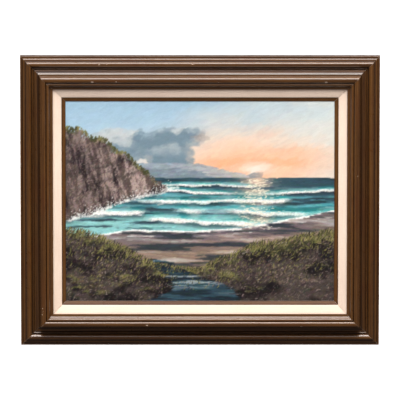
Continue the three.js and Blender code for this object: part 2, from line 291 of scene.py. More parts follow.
def make_mitred_strip():
    """Carries a section along one side of the frame and cuts both ends to a mitre."""
    tree, given, out = new_group(
        "Mitred Strip",
        {
            "Path": ("Geometry", None),
            "Section": ("Object", None),
            "Half Length": ("Float", 0.4),
            "Reach": ("Float", 0.326),
            "Mitre Gap": ("Float", 0.00015),
            "Turn": ("Float", 0.0),
            "Centre": ("Vector", None),
            "Material": ("Material", None),
        },
        {"Strip": ("Geometry", None)},
        "GeometryNodeTree",
    )
    outline = node(tree, "GeometryNodeObjectInfo", {"Object": given["Section"]}).outputs["Geometry"]
    outline = node(tree, "GeometryNodeMeshToCurve", {"Mesh": outline}).outputs[0]
    path = node(tree, "GeometryNodeMeshToCurve", {"Mesh": given["Path"]}).outputs[0]
    swept = {"Curve": path, "Profile Curve": outline, "Fill Caps": True}
    strip = node(tree, "GeometryNodeCurveToMesh", swept).outputs[0]
    u, h, across, place = (named_value(tree, key) for key in ("u", "h", "across", "place"))
    to_mitre = calc(tree, "SUBTRACT", given["Half Length"], u)
    along = calc(tree, "MULTIPLY", place, calc(tree, "SUBTRACT", to_mitre, given["Mitre Gap"]))
    guide = node(tree, "CombineXYZ", {0: along, 1: across, 2: h}).outputs[0]
    strip = keep_value(tree, strip, "rail", "FLOAT_VECTOR", guide)
    left = calc(tree, "SUBTRACT", to_mitre, calc(tree, "ABSOLUTE", along))
    strip = keep_value(tree, strip, "mitre", "FLOAT", left)
    flat = {0: along, 1: calc(tree, "MULTIPLY", h, -1.0), 2: calc(tree, "SUBTRACT", given["Reach"], u)}
    flat = node(tree, "CombineXYZ", flat).outputs[0]
    turned = {"Vector": flat, "Angle": given["Turn"]}
    turned = node(tree, "VectorRotate", turned, rotation_type="Y_AXIS").outputs[0]
    spot = node(tree, "VectorMath", {0: turned, 1: given["Centre"]}, operation="ADD").outputs[0]
    strip = node(tree, "GeometryNodeSetPosition", {"Geometry": strip, "Position": spot}).outputs[0]
    end_tree(tree, strip, given, out)


def end_tree(tree, geometry, given, out):
    """Makes the instances real, gives them the material and ends the tree."""
    plain = node(tree, "GeometryNodeRealizeInstances", {"Geometry": geometry}).outputs[0]
    made = node(tree, "GeometryNodeSetMaterial", {"Geometry": plain, "Material": given["Material"]})
    feed(tree, out[0], made.outputs[0])


def named_value(tree, name):
    """Reads a number that the geometry stores at each point."""
    return node(tree, "GeometryNodeInputNamedAttribute", {"Name": name}, data_type="FLOAT").outputs[0]


def keep_value(tree, geometry, name, kind, value):
    """Stores a value at each point under a name."""
    made = tree.nodes.new("GeometryNodeStoreNamedAttribute")
    made.data_type, made.domain = kind, "POINT"
    for key, given in (("Geometry", geometry), ("Name", name), ("Value", value)):
        feed(tree, made.inputs[key], given)
    return made.outputs[0]


def grown(piece, group, values, sharp=40):
    """Runs a Geometry Nodes tree on a piece with the given inputs, and keeps the result as a plain mesh."""
    bpy.context.scene.collection.objects.link(piece)
    modifier = piece.modifiers.new(group, "NODES")
    modifier.node_group = bpy.data.node_groups[group]
    for socket in modifier.node_group.interface.items_tree:
        if socket.in_out == "INPUT" and socket.name in values:
            modifier[socket.identifier] = values[socket.name]
    ready = piece.evaluated_get(bpy.context.evaluated_depsgraph_get())
    mesh = bpy.data.meshes.new_from_object(ready)
    if not mesh.polygons:
        raise RuntimeError(f"{group} made no faces for {piece.name}")
    piece.modifiers.clear()
    old, piece.data = piece.data, mesh
    bpy.data.meshes.remove(old)
    mesh.name = piece.name
    face_outwards(mesh, sharp)
    return piece


def mitred_strip(name, section, side, spacing, material, marks=()):
    """One side's strip of moulding, liner or slip, in place."""
    upright = side in ("left", "right")
    half, reach = (FRAME_HEIGHT, FRAME_WIDTH) if upright else (FRAME_WIDTH, FRAME_HEIGHT)
    places = stations(marks, half / 2 / MM, spacing)
    values = {
        "Section": section,
        "Half Length": half / 2,
        "Reach": reach / 2,
        "Mitre Gap": MITRE_GAP * MM,
        "Turn": math.radians(SIDES[side]),
        "Centre": (CENTRE_X, BACK_Y, CENTRE_Z),
        "Material": material,
    }
    piece = grown(row_of_points(name, {"place": places}, False), "Mitred Strip", values)
    dent(piece, marks)
    return piece


def read_values(owner, key, size=1):
    """A mesh's values as an array, `size` numbers to a row."""
    found = np.empty(len(owner) * size, np.float32)
    owner.foreach_get(key, found)
    return found.reshape(-1, size) if size > 1 else found


def dent(piece, marks):
    """Sinks each mark of use into the face, and eases the arris at each mitre."""
    mesh = piece.data
    points = read_values(mesh.vertices, "co", 3)
    normals = read_values(mesh.vertices, "normal", 3)
    along = read_values(mesh.attributes["rail"].data, "vector", 3)[:, 0] / MM
    u, h, place = (read_values(mesh.attributes[key].data, "value") for key in ("u", "h", "place"))
    sink = np.where((np.abs(place) > 1 - 1e-5) & (h > MM), MITRE_SINK, 0.0)
    chip = np.zeros(len(u))
    for _, where, centre, long, wide, deep, pale in marks:
        spot = np.clip(1 - ((along - where) / long) ** 2 - ((u / MM - centre) / wide) ** 2, 0, 1)
        spot = spot * (h / MM > FACE_ABOVE)
        sink = sink + deep * spot
        chip = np.maximum(chip, pale * np.sqrt(spot))
    mesh.vertices.foreach_set("co", (points - normals * sink[:, None] * MM).ravel())
    set_attribute(piece, "chip", "FLOAT", chip)


def closed_piece(name, points, faces, sharp=40):
    """A new piece from faces and points in metres, with its faces turned outwards."""
    mesh = bpy.data.meshes.new(name)
    mesh.from_pydata([tuple(p) for p in points], [], faces)
    face_outwards(mesh, sharp)
    return added(name, mesh)


def added(name, data):
    """A new object in the scene."""
    made = bpy.data.objects.new(name, data)
    bpy.context.scene.collection.objects.link(made)
    return made


def face_outwards(mesh, sharp):
    """Turns all faces outwards, and shades smooth over edges flatter than `sharp` degrees."""
    work = bmesh.new()
    work.from_mesh(mesh)
    bmesh.ops.recalc_face_normals(work, faces=work.faces)
    work.to_mesh(mesh)
    work.free()
    mesh.polygons.foreach_set("use_smooth", [True] * len(mesh.polygons))
    mesh.set_sharp_from_angle(angle=math.radians(sharp))


def set_attribute(piece, name, kind, values):
    """Stores one value at each point of a piece."""
    key = {"FLOAT": "value", "FLOAT_VECTOR": "vector", "FLOAT_COLOR": "color"}[kind]
    made = piece.data.attributes.new(name, kind, "POINT")
    made.data.foreach_set(key, np.asarray(values, np.float32).ravel())


# ---------------------------------------------------------------- the painting's composition

# The opening inside the slip. The picture is planned on it in two ways: x and z in millimetres from its
# lower left corner, and s and t as shares of its width and height.
SIGHT_WIDTH = 598.0
SIGHT_HEIGHT = 450.0
CELL = 1.8  # mm between the mesh's rows
FINE = 2  # paint is laid on a raster this many times finer than the mesh
PAINT_SEED = 41
GAMMA = 2.2  # colours are mixed as the eye sees them, and stored as light
LATTICE = 64  # random values a side in the fields that blots are drawn from
HORIZON = 0.615  # t of the horizon
SUN_PLACE = 0.71  # s of the low sun
STREAM_PLACE = 0.42  # s of the stream

SKY, CLOUD, HILLS, SEA, FOAM, BEACH, ROCK, DUNE, STREAM = range(9)

PALETTE = (
    *("sky_blue", "sky_pale", "sky_peach", "sky_orange", "cloud", "cloud_light", "hills_far", "hills_near"),
    *("sea", "shallows", "teal", "deep", "foam", "sand", "sand_wet", "rock", "rock_dark", "rock_light"),
    *("moss", "moss_light", "earth", "earth_dark", "pool"),
)

# Surf lines: height up the picture, curve and strength.
SURF = ((0.575, -0.02, 0.35), (0.548, -0.03, 0.5), (0.505, -0.05, 0.9), (0.45, -0.03, 1.3), (0.4, 0.06, 1.2))

# Outlines across the picture, as pairs of s and t. The hills' t is measured from the horizon. The
# stream's pairs are a height t and its half width there.
FAR_HILLS = ((0, 0.085), (0.35, 0.07), (0.52, 0.045), (0.64, 0.012), (0.7, -0.02), (1, -0.05))
NEAR_HILLS = ((0, 0.06), (0.4, 0.045), (0.5, 0.02), (0.565, -0.01), (1, -0.05))
SHORE = ((0, 0.3), (0.25, 0.35), (0.45, 0.345), (0.65, 0.36), (0.85, 0.41), (1, 0.445))
CLIFF_TOP = (
    *((0, 0.875), (0.055, 0.87), (0.1, 0.825), (0.15, 0.815), (0.19, 0.755), (0.235, 0.74)),
    *((0.27, 0.68), (0.31, 0.655), (0.335, 0.6), (0.375, 0.575), (0.39, 0.5), (1, 0.3)),
)
CLIFF_FOOT = ((0, 0.4), (0.1, 0.43), (0.2, 0.49), (0.3, 0.53), (0.4, 0.565), (1, 0.6))
DUNE_CREST = (
    *((0, 0.345), (0.1, 0.32), (0.2, 0.255), (0.3, 0.2), (0.4, 0.165), (0.5, 0.17)),
    *((0.6, 0.22), (0.7, 0.27), (0.8, 0.285), (0.9, 0.33), (1, 0.35)),
)
STREAM_HALF = ((0, 0.16), (0.06, 0.11), (0.12, 0.055), (0.19, 0.03), (0.24, 0.05), (1, 0.05))


def smooth(value, low, high):
    """0 at `low` and 1 at `high`, with an eased rise between them."""
    t = np.clip((value - low) / (high - low), 0, 1)
    return t * t * (3 - 2 * t)


def blend(a, b, amount):
    """Mixes two colours: `a` where the amount is 0, `b` where it is 1."""
    amount = np.asarray(amount)[..., None]
    return np.asarray(a, float) * (1 - amount) + np.asarray(b, float) * amount


def bump_of(value, middle, spread):
    """A soft bump, 1 at the middle."""
    return np.exp(-(((value - middle) / spread) ** 2))


def outline(s, knots):
    """The height of an outline at s, straight from knot to knot."""
    return np.interp(s, *zip(*knots))


def pigment(look, key):
    """One of the palette's colours, as it is mixed."""
    return np.array(getattr(look, key)) ** (1 / GAMMA)


def blots(rng, x, z, size, octaves=4, keep=0.5):
    """A smooth random field about 0.5, with its largest blots `size` millimetres across (wide, high)."""
    total, weight, strength = np.zeros(np.shape(x)), 0.0, 1.0
    for k in range(octaves):
        lattice = rng.random((LATTICE, LATTICE))
        u, v = x / (size[0] / 2**k) + 20.0, z / (size[1] / 2**k) + 20.0
        i, j = np.floor(u).astype(int), np.floor(v).astype(int)
        fu, fv = u - i, v - j
        fu, fv = fu * fu * (3 - 2 * fu), fv * fv * (3 - 2 * fv)
        i0, i1, j0, j1 = i % LATTICE, (i + 1) % LATTICE, j % LATTICE, (j + 1) % LATTICE
        low = lattice[j0, i0] * (1 - fu) + lattice[j0, i1] * fu
        high = lattice[j1, i0] * (1 - fu) + lattice[j1, i1] * fu
        total += strength * (low * (1 - fv) + high * fv)
        weight += strength
        strength *= keep
    return total / weight


class Picture:
    """The picture's broad areas: at each point a colour, and the region that says how strokes lie there."""

    def __init__(self, look, rng):
        columns, rows = (int(round(size / CELL)) * FINE + 1 for size in (SIGHT_WIDTH, SIGHT_HEIGHT))
        across, up = np.linspace(0, SIGHT_WIDTH, columns), np.linspace(0, SIGHT_HEIGHT, rows)
        self.rng = rng
        self.x, self.z = np.meshgrid(across, up)
        self.s, self.t = self.x / SIGHT_WIDTH, self.z / SIGHT_HEIGHT
        self.tone = {key: pigment(look, key) for key in PALETTE}
        self.colour = np.zeros((rows, columns, 3))
        self.area = np.full((rows, columns), SKY)

    def blots(self, x, z, size, octaves=4, keep=0.5):
        """A random field from the picture's own run of random numbers."""
        return blots(self.rng, x, z, size, octaves, keep)

    def lay(self, tone, amount):
        """Mixes in a tone, which is a palette name or a colour at each point."""
        self.colour = blend(self.colour, self.tone[tone] if isinstance(tone, str) else tone, amount)

    def mark(self, where, region):
        """Gives points to a region."""
        self.area = np.where(where, region, self.area)


def lay_sky(picture):
    """Blue at the upper left, warm round the low sun at the right."""
    x, z, s, t, tone = picture.x, picture.z, picture.s, picture.t, picture.tone
    drift = picture.drift = picture.blots(x + z * 0.5, z, (210, 120))
    pale = smooth((1 - s) * 0.75 + (t - 0.8) * 1.1 + (drift - 0.5) * 0.9, 0.15, 0.75)
    picture.colour = blend(tone["sky_pale"], tone["sky_blue"], pale)
    warm = bump_of(s, 0.68, 0.33) * smooth(t + (drift - 0.5) * 0.35, 1.04, 0.7)
    picture.lay("sky_peach", 0.92 * warm)
    streak = picture.streak = picture.blots(x - z * 1.2, z, (190, 26), 3)
    glow = bump_of(s, 0.7, 0.2) * bump_of(t, 0.68, 0.08)
    picture.lay("sky_orange", np.clip(glow * 0.8 + 0.5 * warm * smooth(streak, 0.5, 0.68), 0, 1))
    picture.lay("foam", 0.75 * bump_of(s, SUN_PLACE, 0.07) * bump_of(t, 0.665, 0.03))


def lay_clouds(picture):
    """Heaps on the left, thin bars on the right."""
    x, z, s, t, tone = picture.x, picture.z, picture.s, picture.t, picture.tone
    heap = picture.blots(x, z, (120, 62), 5, 0.52)
    bank = 0.34 * bump_of(t, 0.755, 0.085) * smooth(s, 0.66, 0.2)
    bars = 0.2 * bump_of(t, 0.80, 0.03) * smooth(s, 0.6, 0.85)
    clear = 0.16 * smooth(s, 0.55, 0.75) * smooth(t, 0.84, 0.95)
    cover = smooth(heap + bank + bars - clear + 0.1 * (picture.streak - 0.5), 0.6, 0.76)
    under = picture.blots(x, z + 9, (120, 62), 5, 0.52)
    lit = smooth(picture.blots(x - 6, z - 8, (44, 30), 3), 0.42, 0.62)
    cloud = blend(tone["cloud"], tone["cloud_light"], lit * smooth(t, 0.68, 0.84))
    cloud = blend(cloud, tone["sky_orange"], 0.55 * smooth(under, 0.5, 0.66) * smooth(s, 0.1, 0.6))
    picture.lay(cloud, cover)
    picture.mark(cover > 0.5, CLOUD)


def lay_hills(picture):
    """Far hills in two ranges, fading to the right."""
    x, z, s, t, tone = picture.x, picture.z, picture.s, picture.t, picture.tone
    jag = picture.blots(x, 0 * z, (90, 50), 4) - 0.5
    far_top = HORIZON + outline(s, FAR_HILLS) + 0.05 * jag
    near_top = HORIZON + outline(s, NEAR_HILLS) + 0.035 * jag
    haze = picture.blots(x, z, (40, 16), 3)
    picture.lay(blend(tone["hills_far"], tone["sky_peach"], 0.35 * smooth(s, 0.3, 0.7)), t < far_top)
    picture.mark(t < far_top, HILLS)
    picture.lay(blend(tone["hills_near"], tone["hills_far"], haze), t < near_top)
    picture.mark(t < near_top, HILLS)


def lay_sea(picture):
    """Paler towards the shore, with the sun's path on it."""
    x, z, s, t, tone = picture.x, picture.z, picture.s, picture.t, picture.tone
    depth = smooth(t, 0.33, HORIZON)
    swell = picture.blots(x, z, (150, 11), 4)
    sea = blend(tone["shallows"], tone["sea"], smooth(depth + 0.5 * (swell - 0.5), 0.1, 0.5))
    sea = blend(sea, tone["deep"], smooth(depth + 1.1 * (swell - 0.5), 0.5, 0.95))
    trough = picture.blots(x + 40, z, (110, 7), 4)
    sea = blend(sea, tone["deep"], 0.8 * smooth(trough, 0.52, 0.66))
    sea = blend(sea, tone["pool"], 0.65 * smooth(trough, 0.6, 0.72))
    path = bump_of(s, SUN_PLACE, 0.05 + 0.13 * (HORIZON - t))
    sea = blend(sea, tone["sky_peach"], path * smooth(swell, 0.42, 0.62) * 0.85)
    picture.lay(sea, t < HORIZON)
    picture.mark(t < HORIZON, SEA)


def lay_surf(picture):
    """Low lines of surf, one behind another, each with its green face, foam and shade."""
    x, z, s, t, tone = picture.x, picture.z, picture.s, picture.t, picture.tone
    water = t < HORIZON
    bend = picture.bend = picture.blots(x, 0 * z, (170, 50), 3) - 0.5
    for k, (level, fall, thick) in enumerate(SURF):
        line = level + fall * (s - 0.5) ** 2 + 0.035 * bend * (1 + 0.3 * k) - 0.008 * np.sin(s * 9 + 2 * k)
        below = t - line
        ragged = picture.blots(x, z, (26, 9), 4)
        run = smooth(picture.blots(x + 90 * k, 0 * z, (120, 50), 2), 0.3, 0.55)
        face = smooth(below, -0.002, 0.004) * smooth(below, 0.035 * thick + 0.012, 0.008)
        green = blend(tone["teal"], tone["shallows"], smooth(ragged, 0.35, 0.65))
        picture.lay(green, 0.75 * face * run * water)
        foam = smooth(below + (ragged - 0.5) * 0.03 * thick, -0.016 * thick, -0.006 * thick)
        foam = foam * smooth(below + (ragged - 0.5) * 0.012, 0.006 + 0.006 * thick, 0.0) * run
        shade = smooth(below, -0.03 * thick - 0.004, -0.012 * thick) * smooth(below, 0, -0.01 * thick) * run
        picture.lay("pool", 0.6 * shade * water)
        picture.lay("foam", foam * water)
        picture.mark((foam > 0.45) & water, FOAM)


def lay_beach(picture):
    """Wet sand, with the thin edge of the last wash."""
    x, z, s, t, tone = picture.x, picture.z, picture.s, picture.t, picture.tone
    shore = outline(s, SHORE) + 0.02 * picture.bend
    wet = picture.blots(x, z, (120, 9), 4)
    sand = blend(tone["sand_wet"], tone["sand"], smooth(shore - t + 0.06 * (wet - 0.5), 0.03, 0.12))
    sand = blend(sand, tone["pool"], 0.75 * smooth(wet, 0.5, 0.38))
    sand = blend(sand, tone["sky_peach"], 0.5 * smooth(wet, 0.5, 0.7) * bump_of(s, 0.68, 0.25))
    sand = blend(sand, tone["cloud_light"], 0.5 * smooth(wet, 0.6, 0.7))
    picture.lay(sand, t < shore)
    picture.mark(t < shore, BEACH)
    lace = smooth(np.abs(t - shore + 0.01 * (wet - 0.5)), 0.008, 0.003)
    older = smooth(np.abs(t - shore + 0.022 + 0.02 * (picture.drift - 0.5)), 0.005, 0.001) * 0.7
    lace = np.maximum(lace, older * smooth(wet, 0.4, 0.5))
    picture.lay("foam", lace * (t < shore + 0.01))
    picture.mark(lace > 0.5, FOAM)


def lay_headland(picture):
    """A stepped cliff on the left, with grass on top and the wash at its foot."""
    x, z, s, t, tone = picture.x, picture.z, picture.s, picture.t, picture.tone
    rough = picture.rough = picture.blots(x, z, (16, 12), 4)
    top = outline(s, CLIFF_TOP) + 0.02 * (rough - 0.5)
    foot = outline(s, CLIFF_FOOT) + 0.03 * (picture.blots(x, 0 * z, (34, 50), 3) - 0.5)
    crag = picture.blots(x + z * 0.35, z * 0.8, (34, 70), 5, 0.55)
    crag_aside = blots(np.random.default_rng(PAINT_SEED + 5), x, z, (22, 46), 4, 0.6)
    slant = np.gradient(crag, axis=1) - 0.4 * np.gradient(crag, axis=0)
    lit = smooth(slant * -60 + 0.5 * (crag_aside - 0.5), -0.25, 0.5)
    rock = blend(tone["rock_dark"], tone["rock"], smooth(crag_aside, 0.34, 0.58))
    rock = blend(rock, tone["rock_light"], lit * (0.35 + 0.45 * smooth(s, 0.0, 0.3)))
    beds = smooth(picture.blots(x, z - 0.3 * x, (90, 9), 3), 0.56, 0.66)
    rock = blend(rock, tone["rock_dark"], 0.45 * beds)
    turf = smooth(top - t + 0.035 * (rough - 0.5), 0.035, 0.012) * smooth(s, 0.36, 0.3)
    rock = blend(rock, blend(tone["moss"], tone["moss_light"], smooth(rough, 0.4, 0.62)), turf)
    rock = blend(rock, tone["deep"], 0.4 * smooth(t - foot, 0.02, 0.0))
    cliff = (t < top) & (t > foot)
    picture.lay(rock, cliff)
    picture.mark(cliff, ROCK)
    wash = smooth(np.abs(t - foot + 0.012 * (rough - 0.5)), 0.011, 0.003) * (s < 0.42)
    broken = smooth(rough, 0.34, 0.5)
    picture.lay("foam", 0.85 * wash * broken)
    picture.mark(wash * broken > 0.5, FOAM)


def lay_dune(picture):
    """The dark dune in front, with moss and grass."""
    x, z, s, t, tone = picture.x, picture.z, picture.s, picture.t, picture.tone
    rough = picture.rough
    lumps = picture.blots(x, z, (46, 26), 5, 0.55)
    crest = picture.crest = outline(s, DUNE_CREST) + 0.035 * (picture.blots(x, 0 * z, (60, 50), 4) - 0.5)
    slant = np.gradient(lumps, axis=0) + 0.3 * np.gradient(lumps, axis=1)
    slope = smooth(slant * 45 + 0.4 * (rough - 0.5), -0.3, 0.6)
    earth = blend(tone["earth_dark"], tone["earth"], smooth(lumps + 0.4 * (rough - 0.5), 0.35, 0.65))
    tuft = picture.blots(x, z, (60, 26), 4) + 0.4 * (slope - 0.5)
    growth = smooth(tuft + 0.55 * smooth(crest - t, 0.08, 0.0), 0.66, 0.98)
    earth = blend(earth, tone["moss"], 0.85 * growth)
    earth = blend(earth, tone["moss_light"], 0.7 * growth * smooth(rough + 0.5 * slope, 0.72, 1.05))
    bare = smooth(picture.blots(x, z, (80, 24), 3), 0.6, 0.7) * smooth(t, 0.03, 0.1)
    earth = blend(earth, tone["sand"], 0.55 * bare * (1 - growth) * slope)
    picture.lay(earth, t < crest)
    picture.mark(t < crest, DUNE)


def lay_stream(picture):
    """A stream that runs out to the beach between the dune's two halves."""
    x, z, s, t, tone = picture.x, picture.z, picture.s, picture.t, picture.tone
    middle = STREAM_PLACE + 0.07 * np.sin(t * 19 + 0.6) + 0.1 * (0.2 - t)
    wander = 0.02 * (picture.blots(x, z, (30, 8), 3) - 0.5)
    bank = np.abs(s - middle) - outline(t, STREAM_HALF) - wander
    stream = (bank < 0) & (t < picture.crest + 0.02)
    gleam = picture.blots(x, z, (70, 5), 3)
    water = blend(tone["pool"], tone["deep"], smooth(gleam, 0.4, 0.6))
    water = blend(water, tone["cloud_light"], 0.8 * smooth(gleam, 0.6, 0.72) * smooth(t, 0.0, 0.12))
    picture.lay(water, stream)
    picture.mark(stream, STREAM)
    picture.lay("earth_dark", 0.6 * smooth(np.abs(bank), 0.008, 0.002) * (t < picture.crest))


# From the farthest area to the nearest.
AREAS = (lay_sky, lay_clouds, lay_hills, lay_sea, lay_surf, lay_beach, lay_headland, lay_dune, lay_stream)


# ---------------------------------------------------------------- the brush and knife

# Strokes by region: how many, length, width, lean and its spread in degrees, body of the paint, opacity.
STROKES = {
    SKY: ((1100, 50, 18, 24, 22, 0.10, 0.55), (1500, 26, 9, 24, 28, 0.12, 0.4)),
    CLOUD: ((700, 28, 13, 15, 40, 0.15, 0.55), (1700, 13, 6, 20, 60, 0.2, 0.55)),
    HILLS: ((700, 16, 4, 4, 14, 0.12, 0.8),),
    SEA: ((1500, 34, 4, 0, 4, 0.15, 0.8), (4200, 16, 2.4, 0, 6, 0.2, 0.8)),
    FOAM: ((2600, 8, 2.6, 2, 25, 0.5, 0.9), (2600, 4, 1.8, 5, 60, 0.8, 0.95)),
    BEACH: ((900, 34, 4.5, -3, 4, 0.12, 0.8), (1200, 16, 2, -2, 6, 0.15, 0.8)),
    ROCK: ((1500, 9, 4, 70, 40, 0.35, 0.85), (2600, 5, 1.9, 62, 60, 0.5, 0.85)),
    DUNE: ((1600, 13, 4.6, 20, 50, 0.3, 0.85), (3600, 5.5, 2.1, 40, 70, 0.45, 0.85)),
    STREAM: ((500, 26, 3, 0, 5, 0.12, 0.85), (600, 12, 1.6, 0, 5, 0.2, 0.85)),
}

# Knife lines by region: how many, the share that is pale, the most that a line stands out from the paint
# round it, its greatest length and its lean in radians.
KNIFE_LINES = {ROCK: (2000, 0.55, 0.5, 5.5, 0.9), DUNE: (3600, 0.5, 0.7, 8, 0.5)}

HAIRS = 10  # across a brush
GRASS_BLADES = 2300
SUN_GLINTS = 420
FOAM_FLECKS = 260


class Panel:
    """The raster that paint is laid on: its colour, thickness, and how each stroke lies on it."""

    def __init__(self, rng, colour):
        self.rng = rng
        self.step = CELL / FINE
        self.colour = colour.copy()
        self.body = np.zeros(colour.shape[:2])
        self.stroke = np.zeros(colour.shape)
        self.count = 0

    def dab(self, x, z, length, width, lean, tone, body, opacity, bend=0.0):
        """One stroke of the brush, centred at x, z, in millimetres."""
        rows, columns = self.body.shape
        spare = 0.6 * width + abs(bend)
        wide = 0.56 * length * abs(math.cos(lean)) + spare * abs(math.sin(lean)) + self.step
        high = 0.56 * length * abs(math.sin(lean)) + spare * abs(math.cos(lean)) + self.step
        i0, i1 = max(int((x - wide) / self.step), 0), min(int((x + wide) / self.step) + 2, columns)
        j0, j1 = max(int((z - high) / self.step), 0), min(int((z + high) / self.step) + 2, rows)
        if i0 >= i1 or j0 >= j1:
            return
        dx = np.arange(i0, i1) * self.step - x
        dz = (np.arange(j0, j1) * self.step - z)[:, None]
        along = dx * math.cos(lean) + dz * math.sin(lean)
        across = dz * math.cos(lean) - dx * math.sin(lean) - bend * (along / length) ** 2
        end, side = 2 * np.abs(along) / length, 2 * np.abs(across) / width
        edge = 1.25 - side**2 - np.clip(end, 0, 2) ** 4
        hairs = self.rng.random(HAIRS)
        hair = hairs[np.clip(((across / width + 0.5) * (HAIRS - 1)).astype(int), 0, HAIRS - 1)]
        cover = np.clip(edge * 1.6 - 0.5 * hair * (1 + along / length), 0, 1) * opacity
        shade = 1 + 0.07 * (hair - 0.5)
        patch = np.s_[j0:j1, i0:i1]
        c = cover[..., None]
        self.colour[patch] = self.colour[patch] * (1 - c) + np.clip(tone * shade[..., None], 0, 1) * c
        ridge = body * (0.55 + 0.45 * hair + 0.35 * np.clip(side - 0.6, 0, 0.5))
        self.body[patch] = self.body[patch] * (1 - 0.7 * cover) + ridge * cover
        self.count += 1
        laid = cover > 0.45
        here = self.stroke[patch]
        here[laid] = np.stack([along, across, np.full(along.shape, self.count * 0.37)], -1)[laid]


def paint_picture(look):
    """The whole picture, laid in with strokes that follow each region."""
    rng = np.random.default_rng(PAINT_SEED)
    picture = Picture(look, rng)
    for lay in AREAS:
        lay(picture)
    panel = Panel(rng, picture.colour)
    paint_regions(rng, panel, picture)
    paint_knife_lines(look, rng, panel, picture.area)
    paint_grass(look, rng, panel, picture.crest)
    paint_sparkle(look, rng, panel)
    return panel


def paint_regions(rng, panel, picture):
    """Strokes of each region's own size and lean, in its own colours."""
    for region, passes in STROKES.items():
        vary = 0.35 if region in (SKY, CLOUD) else 1.0
        where = np.argwhere(picture.area == region)
        for count, length, width, lean, spread, body, opacity in passes:
            for j, i in where[rng.integers(0, len(where), count)]:
                k = rng.normal(0, 1, 6)
                tone = picture.colour[j, i] * (1 + 0.05 * vary * k[0]) + 0.014 * vary * k[1:4]
                size = max(length * (1 + 0.2 * k[4]), 2)
                angle = math.radians(lean + spread * 0.5 * k[5])
                spot = (i * panel.step, j * panel.step)
                panel.dab(*spot, size, width, angle, np.clip(tone, 0, 1), body, opacity)


def paint_knife_lines(look, rng, panel, area):
    """Short curling lines that the knife's edge leaves on rock and earth, most of them pale."""
    pale, deep = pigment(look, "rock_light"), pigment(look, "earth_dark")
    for region, (count, share, strongest, longest, lean) in KNIFE_LINES.items():
        where = np.argwhere(area == region)
        for j, i in where[rng.integers(0, len(where), count)]:
            here = panel.colour[j, i]
            lift = rng.uniform(0.2, strongest)
            tone = here * (1 - lift) + (pale if rng.random() < share else deep) * lift
            turn = rng.normal(lean, 0.7)
            long = rng.uniform(2.5, longest)
            spot = (i * panel.step, j * panel.step)
            panel.dab(*spot, long, 0.95, turn, tone, 0.55, 0.9, bend=rng.normal(0, 2.5))


def paint_grass(look, rng, panel, crest):
    """Blades along the dune's crest and over its face, leaning with the wind."""
    rows, columns = panel.body.shape
    tones = [pigment(look, key) for key in ("moss_light", "moss", "earth_dark", "sand")]
    for _ in range(GRASS_BLADES):
        i = rng.integers(0, columns)
        low = rng.random() ** 3 * 0.7
        j = crest[0, i] * (1 - low) * rows
        tall = (13 if low < 0.12 else 8) * (0.6 + 0.7 * rng.random())
        tall = tall * (1 if abs(i / columns - STREAM_PLACE) > 0.1 else 0.5)
        lean = math.radians(90 - 24 + 20 * rng.normal())
        tone = tones[rng.choice(4, p=(0.36, 0.3, 0.24, 0.1))] * (0.85 + 0.35 * rng.random())
        spot = (i * panel.step, j * panel.step + 0.35 * tall)
        panel.dab(*spot, tall, 1.3, lean, np.clip(tone, 0, 1), 0.45, 0.9, bend=rng.normal(0, 2.5))


def paint_sparkle(look, rng, panel):
    """Lights on the water under the sun, and foam thrown up at the cliff's foot."""
    foam = pigment(look, "foam")
    for _ in range(SUN_GLINTS):
        t = rng.uniform(0.36, HORIZON - 0.004)
        s = SUN_PLACE + rng.normal() * (0.02 + 0.09 * (HORIZON - t))
        spot = (s * SIGHT_WIDTH, t * SIGHT_HEIGHT)
        panel.dab(*spot, rng.uniform(3, 10), 1.2, 0, foam * (1, 0.97, 0.9), 0.5, 0.85)
    for _ in range(FOAM_FLECKS):
        s = rng.uniform(0.02, 0.39)
        t = 0.4 + 0.42 * s + abs(rng.normal(0, 0.018))
        spot = (s * SIGHT_WIDTH, t * SIGHT_HEIGHT)
        panel.dab(*spot, rng.uniform(2, 5), 1.6, rng.uniform(0, 3), foam, 0.7, 0.8)


# ---------------------------------------------------------------- the painted canvas

CANVAS_FRONT = 18.3
CANVAS_BACK = 0.1
CLOTH = 0.8
TURN = 0.8  # how far the turned edge is rounded
FLAP = 22.0

# A corner's folded cloth, from the canvas's outer corner.
FOLD = ((0.6, 0.6), (27, 0.9), (24.5, 3.2), (21.4, 20.8), (19.6, 19.2))
FOLD_RISE = 0.75

STAPLE_INSET = 10.0
STAPLE_LEG_SIDE = 0.25  # how far a leg's middle lies towards the wood, as a share of its length

# Which finish a face of the canvas has.
PAINTED, PRIMED, BARE = range(3)


def canvas_half():
    """Half of the stretched canvas's width and height, in millimetres."""
    low, high = CANVAS_BOX
    return (high[0] - low[0]) / 2 / MM, (high[2] - low[2]) / 2 / MM


def on_frame(points):
    """Points given in millimetres from the picture's middle, put in their place in the room."""
    return np.array(points) * MM + (CENTRE_X, BACK_Y, CENTRE_Z)


def mesh_lines(half, sight, count):
    """Where the mesh's lines cross the canvas: evenly over the picture, and once at each turned edge."""
    return np.concatenate([[TURN - half], np.linspace(-0.5, 0.5, count) * sight, [half - TURN]])


def at_mesh(raster):
    """The raster's values at the mesh's points, each averaged over the strokes about it."""
    margin = [(1, 1), (1, 1)] + [(0, 0)] * (raster.ndim - 2)
    padded = np.pad(raster, margin, mode="edge")
    beside = padded[:-2, 1:-1] + padded[2:, 1:-1] + padded[1:-1, :-2] + padded[1:-1, 2:]
    found = (0.5 * padded[1:-1, 1:-1] + 0.125 * beside)[::FINE, ::FINE]
    return np.pad(found, margin, mode="edge")


